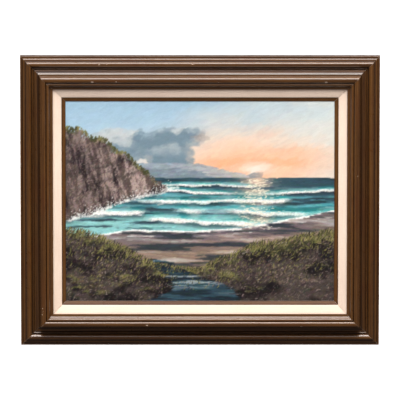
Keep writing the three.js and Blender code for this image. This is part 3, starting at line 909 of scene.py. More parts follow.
def canvas_rings():
    """The rings behind the front's edge: inset from the sides, height, and finish of the face before."""
    soft = TURN * 0.3
    return (
        (soft, CANVAS_FRONT - soft, PRIMED),
        (0, CANVAS_FRONT - TURN, PRIMED),
        (0, CANVAS_BACK + TURN, PRIMED),
        (soft, CANVAS_BACK + soft, PRIMED),
        (TURN, CANVAS_BACK, PRIMED),
        (FLAP, CANVAS_BACK, PRIMED),
        (FLAP, CANVAS_BACK + CLOTH, BARE),
        (CLOTH, CANVAS_BACK + CLOTH, BARE),
        (CLOTH, CANVAS_FRONT - CLOTH, BARE),
    )


def painted_canvas(name, panel):
    """The cloth as one closed sheet: painted front, turned sides, and the flap on the stretcher's back."""
    half_wide, half_high = canvas_half()
    rows, columns = ((size - 1) // FINE + 1 for size in panel.body.shape)
    lines_across = mesh_lines(half_wide, SIGHT_WIDTH, columns)
    gx, gz = np.meshgrid(lines_across, mesh_lines(half_high, SIGHT_HEIGHT, rows))
    thick = at_mesh(panel.body)
    inside = np.minimum(SIGHT_WIDTH / 2 - np.abs(gx), SIGHT_HEIGHT / 2 - np.abs(gz))
    front = np.stack([gx, -(CANVAS_FRONT + thick * smooth(inside, 0, 3)), gz], -1).reshape(-1, 3)
    number = np.arange(gx.size).reshape(gx.shape)
    quads = np.stack([number[:-1, :-1], number[:-1, 1:], number[1:, 1:], number[1:, :-1]], -1).reshape(-1, 4)

    rim = np.concatenate([number[0, :-1], number[:-1, -1], number[-1, :0:-1], number[:0:-1, 0]])
    edge = front[rim][:, [0, 2]]
    points, faces, finish = [front], [quads], [np.full(len(quads), PAINTED)]
    last, total = rim, len(front)
    for inset, height, kind in canvas_rings():
        ring = edge * ((half_wide - inset) / (half_wide - TURN), (half_high - inset) / (half_high - TURN))
        points.append(np.stack([ring[:, 0], np.full(len(ring), -height), ring[:, 1]], -1))
        new = np.arange(total, total + len(rim))
        faces.append(np.stack([last, new, np.roll(new, -1), np.roll(last, -1)], -1))
        finish.append(np.full(len(rim), kind))
        last, total = new, total + len(rim)
    listed = [tuple(face) for face in np.concatenate(faces).tolist()] + [tuple(last[::-1].tolist())]
    piece = closed_piece(name, on_frame(np.concatenate(points)), listed, 50)
    finish = np.concatenate([*finish, [BARE]]).astype(np.int32)
    piece.data.polygons.foreach_set("material_index", finish)
    keep_strokes(piece, panel, thick, rim, total)
    return piece


def keep_strokes(piece, panel, thick, rim, total):
    """Stores each point's paint, the stroke that it lies in, and the paint's thickness."""
    spare = total - thick.size
    paint = np.ones((total, 4))
    paint[: thick.size, :3] = at_mesh(panel.colour).reshape(-1, 3) ** GAMMA
    paint[thick.size :, :3] = np.resize(paint[rim, :3], (spare, 3))
    stroke = np.pad(panel.stroke[::FINE, ::FINE], [(1, 1), (1, 1), (0, 0)], mode="edge").reshape(-1, 3)
    set_attribute(piece, "paint", "FLOAT_COLOR", paint)
    set_attribute(piece, "stroke", "FLOAT_VECTOR", np.concatenate([stroke, np.zeros((spare, 3))]))
    set_attribute(piece, "thick", "FLOAT", np.concatenate([thick.ravel(), np.zeros(spare)]))


def corner_fold(name, side_x, side_z):
    """The cloth folded over itself at one corner of the stretcher's back."""
    half_wide, half_high = canvas_half()
    middle = np.mean(FOLD, axis=0)
    points = []
    for scale, rise in ((1.0, -0.05), (1.0, 0.6 * FOLD_RISE), (0.96, FOLD_RISE)):
        for u, v in (np.array(FOLD) - middle) * scale + middle:
            points.append((side_x * (half_wide - u), rise - CANVAS_BACK, side_z * (half_high - v)))
    count = len(FOLD)
    faces = [tuple(range(count)), tuple(range(2 * count, 3 * count))]
    for k in (0, count):
        for i in range(count):
            after = (i + 1) % count
            faces.append((k + i, k + after, k + count + after, k + count + i))
    return closed_piece(name, on_frame(points), faces, 50)


def make_staple_row():
    """Staples round a rectangle: crowns along it, each a little askew."""
    tree, given, out = new_group(
        "Staple Row",
        {
            "Geometry": ("Geometry", None),
            "Width": ("Float", 0.59),
            "Height": ("Float", 0.44),
            "Count": ("Int", 40),
            "Crown": ("Float", 0.0105),
            "Wire": ("Float", 0.0012),
            "Thickness": ("Float", 0.0006),
            "Wander": ("Float", 0.12),
            "Seed": ("Int", 3),
            "Centre": ("Vector", None),
            "Material": ("Material", None),
        },
        {"Staples": ("Geometry", None)},
        "GeometryNodeTree",
    )
    box = {"Width": given["Width"], "Height": given["Height"]}
    round_bars = node(tree, "GeometryNodeCurvePrimitiveQuadrilateral", box).outputs[0]
    spots = node(tree, "GeometryNodeCurveToPoints", {"Curve": round_bars, "Count": given["Count"]})
    leg_long = calc(tree, "MULTIPLY", given["Thickness"], 2.0)
    crown = node(tree, "CombineXYZ", {0: given["Wire"], 1: given["Thickness"], 2: given["Crown"]}).outputs[0]
    leg = node(tree, "CombineXYZ", {0: given["Wire"], 1: leg_long, 2: given["Thickness"]}).outputs[0]
    parts = [node(tree, "GeometryNodeMeshCube", {"Size": crown}).outputs[0]]
    for end in (-0.5, 0.5):
        far = calc(tree, "MULTIPLY", calc(tree, "SUBTRACT", given["Crown"], given["Thickness"]), end)
        inwards = calc(tree, "MULTIPLY", leg_long, STAPLE_LEG_SIDE)
        shift = node(tree, "CombineXYZ", {1: inwards, 2: far}).outputs[0]
        made = node(tree, "GeometryNodeMeshCube", {"Size": leg}).outputs[0]
        parts.append(node(tree, "GeometryNodeTransform", {"Geometry": made, "Translation": shift}).outputs[0])
    staple = tree.nodes.new("GeometryNodeJoinGeometry")
    for part in parts:
        tree.links.new(part, staple.inputs[0])
    least = calc(tree, "MULTIPLY", given["Wander"], -1.0)
    askew = random_value(tree, {"Min_001": least, "Max_001": given["Wander"], "Seed": given["Seed"]})
    tilt = node(tree, "CombineXYZ", {1: askew}).outputs[0]
    tilt = node(tree, "FunctionNodeEulerToRotation", {0: tilt}).outputs[0]
    turned = {0: spots.outputs["Rotation"], 1: tilt}
    turned = node(tree, "FunctionNodeRotateRotation", turned, rotation_space="LOCAL").outputs[0]
    placed = {"Points": spots.outputs["Points"], "Instance": staple.outputs[0], "Rotation": turned}
    placed = node(tree, "GeometryNodeInstanceOnPoints", placed).outputs[0]
    upright = {"Geometry": placed, "Translation": given["Centre"], "Rotation": (math.pi / 2, 0, 0)}
    end_tree(tree, node(tree, "GeometryNodeTransform", upright).outputs[0], given, out)


def random_value(tree, inputs):
    """A node that draws random numbers. Its inputs are given by identifier."""
    made = tree.nodes.new("FunctionNodeRandomValue")
    made.data_type = "FLOAT"
    by_key = {socket.identifier: socket for socket in made.inputs}
    for key, value in inputs.items():
        feed(tree, by_key[key], value)
    return next(socket for socket in made.outputs if socket.enabled)


# ---------------------------------------------------------------- node helpers


def feed(tree, socket, value):
    """Links a socket, or sets a plain value on it."""
    if isinstance(value, bpy.types.NodeSocket):
        tree.links.new(value, socket)
    else:
        socket.default_value = value


def node(tree, kind, inputs=(), **settings):
    """Adds a node and feeds its inputs. Shader nodes are named without their prefix."""
    made = tree.nodes.new(kind if kind.startswith(("Geometry", "Function")) else "ShaderNode" + kind)
    for key, value in settings.items():
        setattr(made, key, value)
    for key, value in dict(inputs).items():
        feed(tree, made.inputs[key], value)
    return made


def calc(tree, operation, *values):
    """One step of arithmetic."""
    made = tree.nodes.new("ShaderNodeMath")
    made.operation = operation
    for socket, value in zip(made.inputs, values):
        feed(tree, socket, value)
    return made.outputs[0]


def mix(tree, factor, a, b, mode="MIX"):
    """Mixes two colours by a factor."""
    made = tree.nodes.new("ShaderNodeMix")
    made.data_type, made.blend_type = "RGBA", mode
    for socket, value in zip((made.inputs[0], made.inputs[6], made.inputs[7]), (factor, a, b)):
        feed(tree, socket, value)
    return made.outputs[2]


def fit(tree, value, low, high, to_low=0.0, to_high=1.0):
    """Maps one range of values on to another."""
    made = node(tree, "MapRange", {"Value": value, 1: low, 2: high, 3: to_low, 4: to_high})
    return made.outputs[0]


def stretched(tree, vector, scale, rotation=(0, 0, 0)):
    """A pattern's coordinates, turned and stretched."""
    return node(tree, "Mapping", {"Vector": vector, "Scale": scale, "Rotation": rotation}).outputs[0]


def noise(tree, vector, scale, detail=3.0, roughness=0.5, distortion=0.0):
    """Smooth random patches."""
    made = node(tree, "TexNoise", {"Vector": vector, "Scale": scale, "Detail": detail})
    feed(tree, made.inputs["Roughness"], roughness)
    feed(tree, made.inputs["Distortion"], distortion)
    return made.outputs[0]


def attribute(tree, name, output="Vector"):
    """A value that the mesh stores."""
    return node(tree, "Attribute", attribute_name=name).outputs[output]


def object_place(tree, turn=(0, 0, 0)):
    """Object coordinates, turned about the origin."""
    return stretched(tree, node(tree, "TexCoord").outputs["Object"], (1, 1, 1), turn)


def rough_up(tree, shader, height, strength, distance):
    """Feeds a height to the shader as a bump."""
    bump = node(tree, "Bump", {"Strength": strength, "Distance": distance, "Height": height})
    feed(tree, shader["Normal"], bump.outputs[0])


def rgba(tone):
    """A colour with full alpha."""
    return (*tone, 1.0)


def colour(text):
    """Scene-linear RGBA from a hex sRGB colour."""
    values = [int(text[i : i + 2], 16) / 255 for i in (0, 2, 4)]
    return (*(v / 12.92 if v <= 0.04045 else ((v + 0.055) / 1.055) ** 2.4 for v in values), 1.0)


def new_group(name, inputs, outputs, kind="ShaderNodeTree"):
    """A node group with named sockets. inputs and outputs map a name to (kind, default)."""
    tree = bpy.data.node_groups.new(name, kind)
    for in_out, sockets in (("INPUT", inputs), ("OUTPUT", outputs)):
        for label, (kind, default) in sockets.items():
            socket = tree.interface.new_socket(label, in_out=in_out, socket_type="NodeSocket" + kind)
            if default is not None:
                socket.default_value = default
    ends = tree.nodes.new("NodeGroupInput"), tree.nodes.new("NodeGroupOutput")
    return tree, ends[0].outputs, ends[1].inputs


def use_group(tree, name, inputs):
    """Adds one of the shared node groups, and returns its outputs."""
    made = tree.nodes.new("ShaderNodeGroup")
    made.node_tree = bpy.data.node_groups[name]
    for key, value in inputs.items():
        feed(tree, made.inputs[key], value)
    return made.outputs


def new_material(name, **plain):
    """A material with a Principled BSDF. plain sets constants on the shader's own sockets."""
    material = bpy.data.materials.new(name)
    material.use_nodes = True
    shader = material.node_tree.nodes["Principled BSDF"]
    for key, value in plain.items():
        shader.inputs[key.replace("_", " ")].default_value = value
    return material, material.node_tree, shader.inputs


# ---------------------------------------------------------------- shared shader groups


def make_long_grain():
    """Timber cut along the grain. Vector runs along the grain in x."""
    tree, given, out = new_group(
        "Long Grain",
        {"Vector": ("Vector", None), "Streak": ("Float", 1.0)},
        {"Bands": ("Float", None), "Fibres": ("Float", None), "Pores": ("Float", None)},
    )
    vector = given["Vector"]
    bands = noise(tree, stretched(tree, vector, (1.4, 160, 160)), given["Streak"], 5.0, 0.7, 0.3)
    fibres = noise(tree, stretched(tree, vector, (11, 620, 620)), given["Streak"], 3.0, 0.65)
    pores = noise(tree, stretched(tree, vector, (60, 1500, 1500)), given["Streak"], 1.0, 0.5)
    feed(tree, out["Bands"], fit(tree, bands, 0.41, 0.59))
    feed(tree, out["Fibres"], fit(tree, fibres, 0.36, 0.64))
    feed(tree, out["Pores"], fit(tree, pores, 0.6, 0.72))


def make_plain_weave():
    """Warp and weft over and under one another. Vector's x and y lie in the cloth."""
    tree, given, out = new_group(
        "Plain Weave",
        {"Vector": ("Vector", None), "Pitch": ("Float", 0.0009)},
        {"Height": ("Float", None), "Slub": ("Float", None)},
    )
    apart = node(tree, "SeparateXYZ", {0: given["Vector"]}).outputs
    turns = [calc(tree, "DIVIDE", calc(tree, "MULTIPLY", apart[i], math.pi), given["Pitch"]) for i in (0, 1)]
    wobble = noise(tree, given["Vector"], 60.0, 2.0)
    turns = [calc(tree, "ADD", t, calc(tree, "MULTIPLY", wobble, 2.0)) for t in turns]
    warp, weft = (calc(tree, "ABSOLUTE", calc(tree, "SINE", t)) for t in turns)
    over = calc(tree, "MULTIPLY", calc(tree, "SINE", turns[0]), calc(tree, "SINE", turns[1]))
    side = fit(tree, over, -0.2, 0.2)
    height = calc(tree, "ADD", calc(tree, "MULTIPLY", warp, side),
                  calc(tree, "MULTIPLY", weft, calc(tree, "SUBTRACT", 1.0, side)))
    feed(tree, out["Height"], height)
    long_slub = noise(tree, stretched(tree, given["Vector"], (30, 900, 900)), 1.0, 2.0)
    cross_slub = noise(tree, stretched(tree, given["Vector"], (900, 30, 900)), 1.0, 2.0)
    feed(tree, out["Slub"], calc(tree, "MULTIPLY", calc(tree, "ADD", long_slub, cross_slub), 0.5))


def make_mottle():
    """Slow change of tone over a surface, with finer specks in it."""
    tree, given, out = new_group(
        "Mottle",
        {"Vector": ("Vector", None), "Size": ("Float", 12.0)},
        {"Cloud": ("Float", None), "Specks": ("Float", None)},
    )
    cloud = noise(tree, given["Vector"], given["Size"], 3.0, 0.55)
    specks = noise(tree, given["Vector"], calc(tree, "MULTIPLY", given["Size"], 40.0), 1.0)
    feed(tree, out["Cloud"], fit(tree, cloud, 0.3, 0.7))
    feed(tree, out["Specks"], fit(tree, specks, 0.62, 0.75))


# ---------------------------------------------------------------- materials

CANVAS_PITCH = 0.0009  # from thread to thread
FLAT_TURN = (math.pi / 2, 0, 0)  # lays a pattern's x and y over the picture's face


def lacquered_wood(name, look, hollow_stain_and_shade=1.0):
    """Stained and lacquered moulding. The stain is darkest in the hollows, which also paints shade there, and
    rubbed thin on the ridges.
    """
    material, tree, shader = new_material(
        name, Specular_IOR_Level=0.15, Coat_Weight=1.0, Coat_Roughness=0.2, Coat_IOR=1.6
    )
    guide = attribute(tree, "rail")
    grain = use_group(tree, "Long Grain", {"Vector": guide, "Streak": 1.0})
    hollow = fit(tree, attribute(tree, "relief", "Fac"), -0.12, -0.8)
    bare = bare_wood(tree, guide)
    ragged = ragged_chips(tree, guide)

    base = stained(tree, look, guide, grain, hollow, hollow_stain_and_shade)
    raw = mix(tree, grain["Bands"], rgba(look.pine), rgba(look.pine_band))
    raw = mix(tree, calc(tree, "MULTIPLY", grain["Fibres"], 0.35), raw, rgba(look.pine_band))
    base = mix(tree, bare, base, raw)
    base = mix(tree, calc(tree, "MULTIPLY", ragged, 0.85), base, rgba(look.chip))
    seam = fit(tree, attribute(tree, "mitre", "Fac"), 0.0002, 0.0009, 0.4, 0.0)
    seam = calc(tree, "MULTIPLY", seam, fit(tree, noise(tree, guide, 160.0, 2.0), 0.35, 0.6))
    feed(tree, shader["Base Color"], mix(tree, seam, base, rgba(look.chip)))

    rough = fit(tree, noise(tree, guide, 90.0, 3.0), 0.3, 0.7, 0.26, 0.4)
    rough = calc(tree, "ADD", rough, calc(tree, "MULTIPLY", hollow, 0.25))
    rough = calc(tree, "ADD", rough, calc(tree, "MULTIPLY", ragged, 0.4))
    feed(tree, shader["Roughness"], calc(tree, "MAXIMUM", rough, calc(tree, "MULTIPLY", bare, 0.75)))
    feed(tree, shader["Coat Weight"], calc(tree, "SUBTRACT", 1.0, calc(tree, "MAXIMUM", bare, ragged)))
    height = calc(tree, "MULTIPLY", grain["Fibres"], 0.5)
    height = calc(tree, "ADD", height, calc(tree, "MULTIPLY", grain["Pores"], -1.0))
    height = calc(tree, "ADD", height, calc(tree, "MULTIPLY", noise(tree, guide, 260.0, 2.0), 0.8))
    rough_up(tree, shader, height, 0.35, 0.0002)
    return material


def stained(tree, look, guide, grain, hollow, hollow_stain_and_shade):
    """The stain's colour: banded along the grain, redder in patches, dark in pores, and dark in hollows as
    pooled stain and as painted shade.
    """
    light, dark = rgba(look.stain_light), rgba(look.stain_dark)
    mottle = use_group(tree, "Mottle", {"Vector": guide, "Size": 16.0})
    ridge = fit(tree, attribute(tree, "relief", "Fac"), 0.2, 1.2)
    base = mix(tree, grain["Bands"], rgba(look.stain_mid), light)
    base = mix(tree, calc(tree, "MULTIPLY", grain["Fibres"], 0.4), base, dark)
    base = mix(tree, fit(tree, mottle["Cloud"], 0.5, 1.0, 0.0, 0.5), base, rgba(look.stain_red))
    # Painted shade: the hollows are darkened, together with the stain that pools there.
    base = mix(tree, calc(tree, "MULTIPLY", hollow, 0.42 * hollow_stain_and_shade), base, dark)
    rubbed = calc(tree, "MULTIPLY", ridge, fit(tree, grain["Fibres"], 0.2, 0.9, 0.1, 0.5))
    base = mix(tree, rubbed, base, light)
    return mix(tree, calc(tree, "MULTIPLY", grain["Pores"], 0.6), base, dark)


def bare_wood(tree, guide):
    """1 on the unstained back, with a ragged edge where the stain laps round it."""
    wander = calc(tree, "MULTIPLY", noise(tree, guide, 70.0, 3.0), 0.008)
    lap = calc(tree, "ADD", attribute(tree, "u", "Fac"), wander)
    unstained = fit(tree, attribute(tree, "bare", "Fac"), 0.4, 0.6)
    return calc(tree, "MULTIPLY", unstained, fit(tree, lap, 0.006, 0.0085))


def ragged_chips(tree, guide):
    """1 where a mark of use has gone through the stain."""
    edge = fit(tree, noise(tree, guide, 900.0, 2.0), 0.3, 0.7, 0.15, 0.75)
    return calc(tree, "GREATER_THAN", attribute(tree, "chip", "Fac"), edge)


def linen(name, look):
    """Cream linen, woven plain, with slubs and a shade between its threads."""
    material, tree, shader = new_material(
        name, Sheen_Weight=0.25, Sheen_Roughness=0.4, Specular_IOR_Level=0.2
    )
    guide = attribute(tree, "rail")
    weave = use_group(tree, "Plain Weave", {"Vector": guide, "Pitch": 0.0011})
    mottle = use_group(tree, "Mottle", {"Vector": guide, "Size": 9.0})
    shade = rgba(look.linen_shade)
    base = mix(tree, fit(tree, weave["Slub"], 0.35, 0.65), rgba(look.linen), rgba(look.linen_light))
    base = mix(tree, fit(tree, mottle["Cloud"], 0.0, 1.0, 0.0, 0.25), base, shade)
    base = mix(tree, fit(tree, weave["Height"], 0.5, 0.0, 0.0, 0.35), base, shade)
    base = mix(tree, fit(tree, attribute(tree, "mitre", "Fac"), 0.0003, 0.0012, 0.5, 0.0), base, shade)
    feed(tree, shader["Base Color"], base)
    feed(tree, shader["Roughness"], fit(tree, weave["Height"], 0.0, 1.0, 0.95, 0.8))
    rough_up(tree, shader, weave["Height"], 0.6, 0.00025)
    return material


def oil_paint(name):
    """Oil paint: the colour of each stroke, streaked by the brush's hairs, over the cloth's weave."""
    material, tree, shader = new_material(name, Specular_IOR_Level=0.3)
    hairs = noise(tree, stretched(tree, attribute(tree, "stroke"), (0.22, 2.4, 1.0)), 1.0, 2.0, 0.6)
    hairs = fit(tree, hairs, 0.25, 0.75)
    paint = attribute(tree, "paint", "Color")
    light = mix(tree, 0.13, paint, (1, 1, 1, 1), "SOFT_LIGHT")
    dark = mix(tree, 0.3, paint, paint, "MULTIPLY")
    feed(tree, shader["Base Color"], mix(tree, hairs, dark, light))
    feed(tree, shader["Roughness"], fit(tree, hairs, 0, 1, 0.5, 0.36))
    weave = use_group(tree, "Plain Weave", {"Vector": object_place(tree, FLAT_TURN), "Pitch": CANVAS_PITCH})
    threads = calc(tree, "MULTIPLY", weave["Height"], fit(tree, attribute(tree, "thick", "Fac"), 0.3, 0.05))
    height = calc(tree, "ADD", calc(tree, "MULTIPLY", hairs, 1.3), calc(tree, "MULTIPLY", threads, 0.7))
    rough_up(tree, shader, height, 0.45, 0.00025)
    return material


def plain_cloth(name, tone, shade, primed):
    """Canvas seen from the back: bare threads, or threads filled with white primer."""
    material, tree, shader = new_material(name, Specular_IOR_Level=0.25)
    flat = object_place(tree, FLAT_TURN)
    weave = use_group(tree, "Plain Weave", {"Vector": flat, "Pitch": CANVAS_PITCH})
    mottle = use_group(tree, "Mottle", {"Vector": flat, "Size": 7.0})
    base = mix(tree, fit(tree, weave["Slub"], 0.4, 0.62, 0, 1 - 0.8 * primed), tone, shade)
    # Painted shade between the threads, weaker where the primer fills them.
    base = mix(tree, fit(tree, weave["Height"], 0.55, 0.0, 0, 0.6 - 0.4 * primed), base, shade)
    base = mix(tree, fit(tree, mottle["Cloud"], 0.3, 1.0, 0, 0.35), base, shade)
    feed(tree, shader["Base Color"], base)
    feed(tree, shader["Roughness"], fit(tree, weave["Height"], 0, 1, 0.95, 0.7))
    rough_up(tree, shader, weave["Height"], 0.7, 0.0003)
    return material


def pine(name, look, upright):
    """Planed pine, with the grain along the bar."""
    material, tree, shader = new_material(name, Specular_IOR_Level=0.35)
    guide = object_place(tree, (0, math.pi / 2, 0) if upright else (0, 0, 0))
    grain = use_group(tree, "Long Grain", {"Vector": guide, "Streak": 0.45})
    mottle = use_group(tree, "Mottle", {"Vector": guide, "Size": 10.0})
    band = rgba(look.pine_band)
    base = mix(tree, grain["Bands"], rgba(look.pine), band)
    base = mix(tree, calc(tree, "MULTIPLY", grain["Fibres"], 0.3), base, band)
    base = mix(tree, fit(tree, mottle["Cloud"], 0.5, 1, 0, 0.3), base, band)
    feed(tree, shader["Base Color"], base)
    feed(tree, shader["Roughness"], fit(tree, grain["Fibres"], 0, 1, 0.75, 0.55))
    rough_up(tree, shader, grain["Fibres"], 0.4, 0.0002)
    return material


def plated_metal(name, tone, worn, rough):
    """Thin plating with fine scratches, and patches dulled to the share `worn` of its tone."""
    material, tree, shader = new_material(name, Metallic=1.0)
    bright, dull = rgba(tone), rgba([worn * c for c in tone])
    guide = node(tree, "TexCoord").outputs["Object"]
    mottle = use_group(tree, "Mottle", {"Vector": guide, "Size": 90.0})
    scratch = noise(tree, stretched(tree, guide, (120, 900, 2600), (0, 0.5, 0.2)), 1.0, 2.0)
    base = mix(tree, mottle["Cloud"], bright, dull)
    base = mix(tree, calc(tree, "MULTIPLY", mottle["Specks"], 0.5), base, dull)
    feed(tree, shader["Base Color"], base)
    uneven = calc(tree, "ADD", scratch, mottle["Cloud"])
    feed(tree, shader["Roughness"], fit(tree, uneven, 0.5, 1.5, rough, rough + 0.25))
    rough_up(tree, shader, scratch, 0.2, 0.0001)
    return material


# ---------------------------------------------------------------- settings


def tint(label, about, text):
    """A colour setting, given as hex."""
    return bpy.props.FloatVectorProperty(
        name=label, description=about, subtype="COLOR", size=3, min=0, max=1, default=colour(text)[:3]
    )


def oil(label, text):
    """A colour setting for the picture."""
    return tint(label, f"{label} in the picture", text)


def length(label, about, value):
    """A setting for a length."""
    return bpy.props.FloatProperty(name=label, description=about, default=value, unit="LENGTH", min=0.0)


class PaintingFinish(bpy.types.PropertyGroup):
    """Colours of the moulding, liner, slip and fittings."""

    stain_light: tint("Light stain", "Stain where it is rubbed thin", "66441f")
    stain_mid: tint("Stain", "Usual stain of the moulding", "3f2610")
    # The dark stain is also the painted shade in the moulding's hollows.
    stain_dark: tint("Dark stain", "Stain in the pores and hollows", "140803")
    stain_red: tint("Red stain", "Warmer patches of the stain", "4a260f")
    chip: tint("Chip", "Pale ground under the stain", "cdb9a4")
    linen: tint("Linen", "Threads of the liner", "efdcc8")
    linen_light: tint("Light linen", "Lightest threads of the liner", "f6e8d6")
    linen_shade: tint("Linen shade", "Between the threads", "d2b8a4")
    canvas: tint("Canvas", "Threads of the canvas's bare back", "c6bba2")
    canvas_shade: tint("Canvas shade", "Darker threads of the canvas's bare back", "9c8a6a")
    primer: tint("Primer", "White primer on the canvas's turned edge", "e9e6dc")
    pine: tint("Pine", "Pale wood of the stretcher and of the moulding's back", "d9bd8c")
    pine_band: tint("Pine bands", "Darker bands of the pine's grain", "b98d58")
    steel: tint("Steel", "Plated clips, screws, nails and staples", "b9babb")
    brass: tint("Brass", "Plate of the hanger", "b39a5e")


class PaintingColours(bpy.types.PropertyGroup):
    """Oil colours of the picture."""

    sky_blue: oil("Sky blue", "a3c6da")
    sky_pale: oil("Sky pale", "d5e1df")
    sky_peach: oil("Sky peach", "f2d0b4")
    sky_orange: oil("Sky orange", "eeb48c")
    cloud: oil("Cloud", "748e9c")
    cloud_light: oil("Cloud light", "c2cccd")
    hills_far: oil("Hills far", "93a5b0")
    hills_near: oil("Hills near", "72858f")
    sea: oil("Sea", "5fa9b5")
    shallows: oil("Shallows", "8fcdcb")
    teal: oil("Teal", "1f9a9a")
    deep: oil("Deep", "33515f")
    foam: oil("Foam", "f0f4ef")
    sand: oil("Sand", "8d7b6c")
    sand_wet: oil("Sand wet", "74696c")
    rock: oil("Rock", "5c4f4b")
    rock_dark: oil("Rock dark", "2c2426")
    rock_light: oil("Rock light", "c4b2aa")
    moss: oil("Moss", "474a2e")
    moss_light: oil("Moss light", "86834d")
    earth: oil("Earth", "4a423e")
    earth_dark: oil("Earth dark", "1c1819")
    pool: oil("Pool", "1f2f38")


class PaintingStage(bpy.types.PropertyGroup):
    """Camera, lights and floor."""

    distance: length("Distance", "From the camera to the picture", 16.0)
    elevation: bpy.props.FloatProperty(
        name="Elevation",
        description="Of the camera above the picture",
        default=math.radians(9),
        subtype="ANGLE",
    )
    view_width: length("View width", "Width of the view at the picture", 0.8895)
    rise: length("Rise", "Of the view's middle above the frame's middle", 0.007)
    sun: bpy.props.FloatProperty(name="Skylight", description="Strength of the light from above", default=3.3)
    floor_drop: length("Floor drop", "From the frame's bottom edge down to the floor", 0.3)


# ---------------------------------------------------------------- operators


def finish_piece(piece, replaces=None):
    """Puts a piece on its body, and hides the solid that it replaces."""
    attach(piece, BODY)
    if replaces:
        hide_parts(replaces)


class PAINTING_OT_groups(bpy.types.Operator):
    """Make the node groups that several pieces and finishes share"""

    bl_idname = "painting.groups"
    bl_label = "Shared Node Groups"

    def execute(self, context):
        make_mitred_strip()
        make_staple_row()
        make_long_grain()
        make_plain_weave()
        make_mottle()
        return {"FINISHED"}


class PAINTING_OT_moulding(bpy.types.Operator):
    """Make the four rails of the outer moulding"""

    bl_idname = "painting.moulding"
    bl_label = "Moulding"

    def execute(self, context):
        wood = lacquered_wood("dark lacquered wood", context.scene.painting_finish)
        section = section_row("moulding section", moulding_section(), raw_wood)
        for side in SIDES:
            marks = [ding for ding in DINGS if ding[0] == side]
            piece = mitred_strip(f"moulding_{side}", section, side, 9, wood, marks)
            finish_piece(piece, f"frame_rail_{side}")
        bpy.data.objects.remove(section)
        return {"FINISHED"}


class PAINTING_OT_liner(bpy.types.Operator):
    """Make the linen-covered liner and the wood slip inside it"""

    bl_idname = "painting.liner"
    bl_label = "Liner and Slip"

    def execute(self, context):
        look = context.scene.painting_finish
        cloth, wood = linen("cream linen", look), lacquered_wood("slip wood", look, 0.3)
        liner = section_row("liner section", liner_section(), lambda u, h: h < STRIP_BACK + 0.5)
        slip = section_row("slip section", slip_section(), lambda u, h: h < STRIP_BACK + 0.3)
        for side in SIDES:
            strip = mitred_strip(f"linen_liner_{side}", liner, side, 20, cloth)
            finish_piece(strip, f"liner_{side}")
            finish_piece(mitred_strip(f"wood_slip_{side}", slip, side, 20, wood), f"slip_{side}")
        for section in (liner, slip):
            bpy.data.objects.remove(section)
        return {"FINISHED"}


class PAINTING_OT_canvas(bpy.types.Operator):
    """Paint the picture and make the stretched canvas that carries it"""

    bl_idname = "painting.canvas"
    bl_label = "Painted Canvas"

    def execute(self, context):
        look = context.scene.painting_finish
        piece = painted_canvas("painted_canvas", paint_picture(context.scene.painting_colours))
        primed = plain_cloth("primed canvas", rgba(look.primer), rgba(look.canvas), 1)
        bare = plain_cloth("bare canvas", rgba(look.canvas), rgba(look.canvas_shade), 0)
        for finish in (oil_paint("oil paint"), primed, bare):
            piece.data.materials.append(finish)
        finish_piece(piece, "canvas")
        extras = [*corner_folds(primed), staple_row(plated_metal("staple wire", look.steel, 0.6, 0.25))]
        for extra in extras:
            finish_piece(extra)
        return {"FINISHED"}


def corner_folds(cloth):
    """The folded cloth at all four corners of the back."""
    folds = []
    for high, side_z in (("bottom", -1), ("top", 1)):
        for wide, side_x in (("left", -1), ("right", 1)):
            fold = corner_fold(f"canvas_fold_{high}_{wide}", side_x, side_z)
            fold.data.materials.append(cloth)
            folds.append(fold)
    return folds


def staple_row(steel):
    """The staples that hold the canvas's flap to the stretcher."""
    inset = 2 * STAPLE_INSET * MM
    values = {
        "Width": CANVAS_BOX[1][0] - CANVAS_BOX[0][0] - inset,
        "Height": CANVAS_BOX[1][2] - CANVAS_BOX[0][2] - inset,
        "Centre": (CENTRE_X, BACK_Y - CANVAS_BACK * MM + 0.0002, CENTRE_Z),
        "Material": steel,
    }
    return grown(bpy.data.objects.new("staples", bpy.data.meshes.new("staples")), "Staple Row", values)


class PAINTING_OT_fittings(bpy.types.Operator):
    """Finish the stretcher bars, clips, screws, nails and hanger"""

    bl_idname = "painting.fittings"
    bl_label = "Stretcher and Fittings"

    def execute(self, context):
        look = context.scene.painting_finish
        level, upright = pine("pine, level grain", look, False), pine("pine, upright grain", look, True)
        steel = plated_metal("plated steel", look.steel, 0.6, 0.3)
        brass = plated_metal("dull brass", look.brass, 0.55, 0.32)
        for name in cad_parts:
            if name.startswith("stretcher_"):
                paint_node(name, upright if name.endswith(("left", "right")) else level)
            elif name.startswith("clip_") or name.startswith("hanger_nail"):
                paint_node(name, steel)
            elif name == "hanger":
                paint_node(name, brass)
        return {"FINISHED"}


def paint_node(name, material):
    """Gives one of the plain solids its finish."""
    for slot in bpy.data.objects[name].material_slots:
        slot.material = material


# Soft lights: name, sideways lean, elevation in degrees, width, height, watts and colour.
LAMP_DISTANCE = 2.6
LAMPS = (
    ("key left", -0.45, 53, 1.3, 0.7, 24, "f2f4ff"),
    ("key middle", 0.0, 55, 1.3, 0.7, 24, "fff4ec"),
    ("key right", 0.45, 53, 1.3, 0.7, 23, "ffeedd"),
    ("front fill", 0.0, 33, 2.4, 0.6, 9, "f4f6ff"),
    ("back fill", 0.5, 142, 1.6, 1.6, 34, "f6f5ff"),
)
SKYLIGHT_ELEVATION = 72
SKYLIGHT_SPREAD = 42
FLOOR_REACH = 30.0
DOME_LOW, DOME_HIGH = 0.26, 0.5  # the dome's strength near the floor and overhead
MIRRORED = 0.09  # the strength of the room that the lacquer mirrors


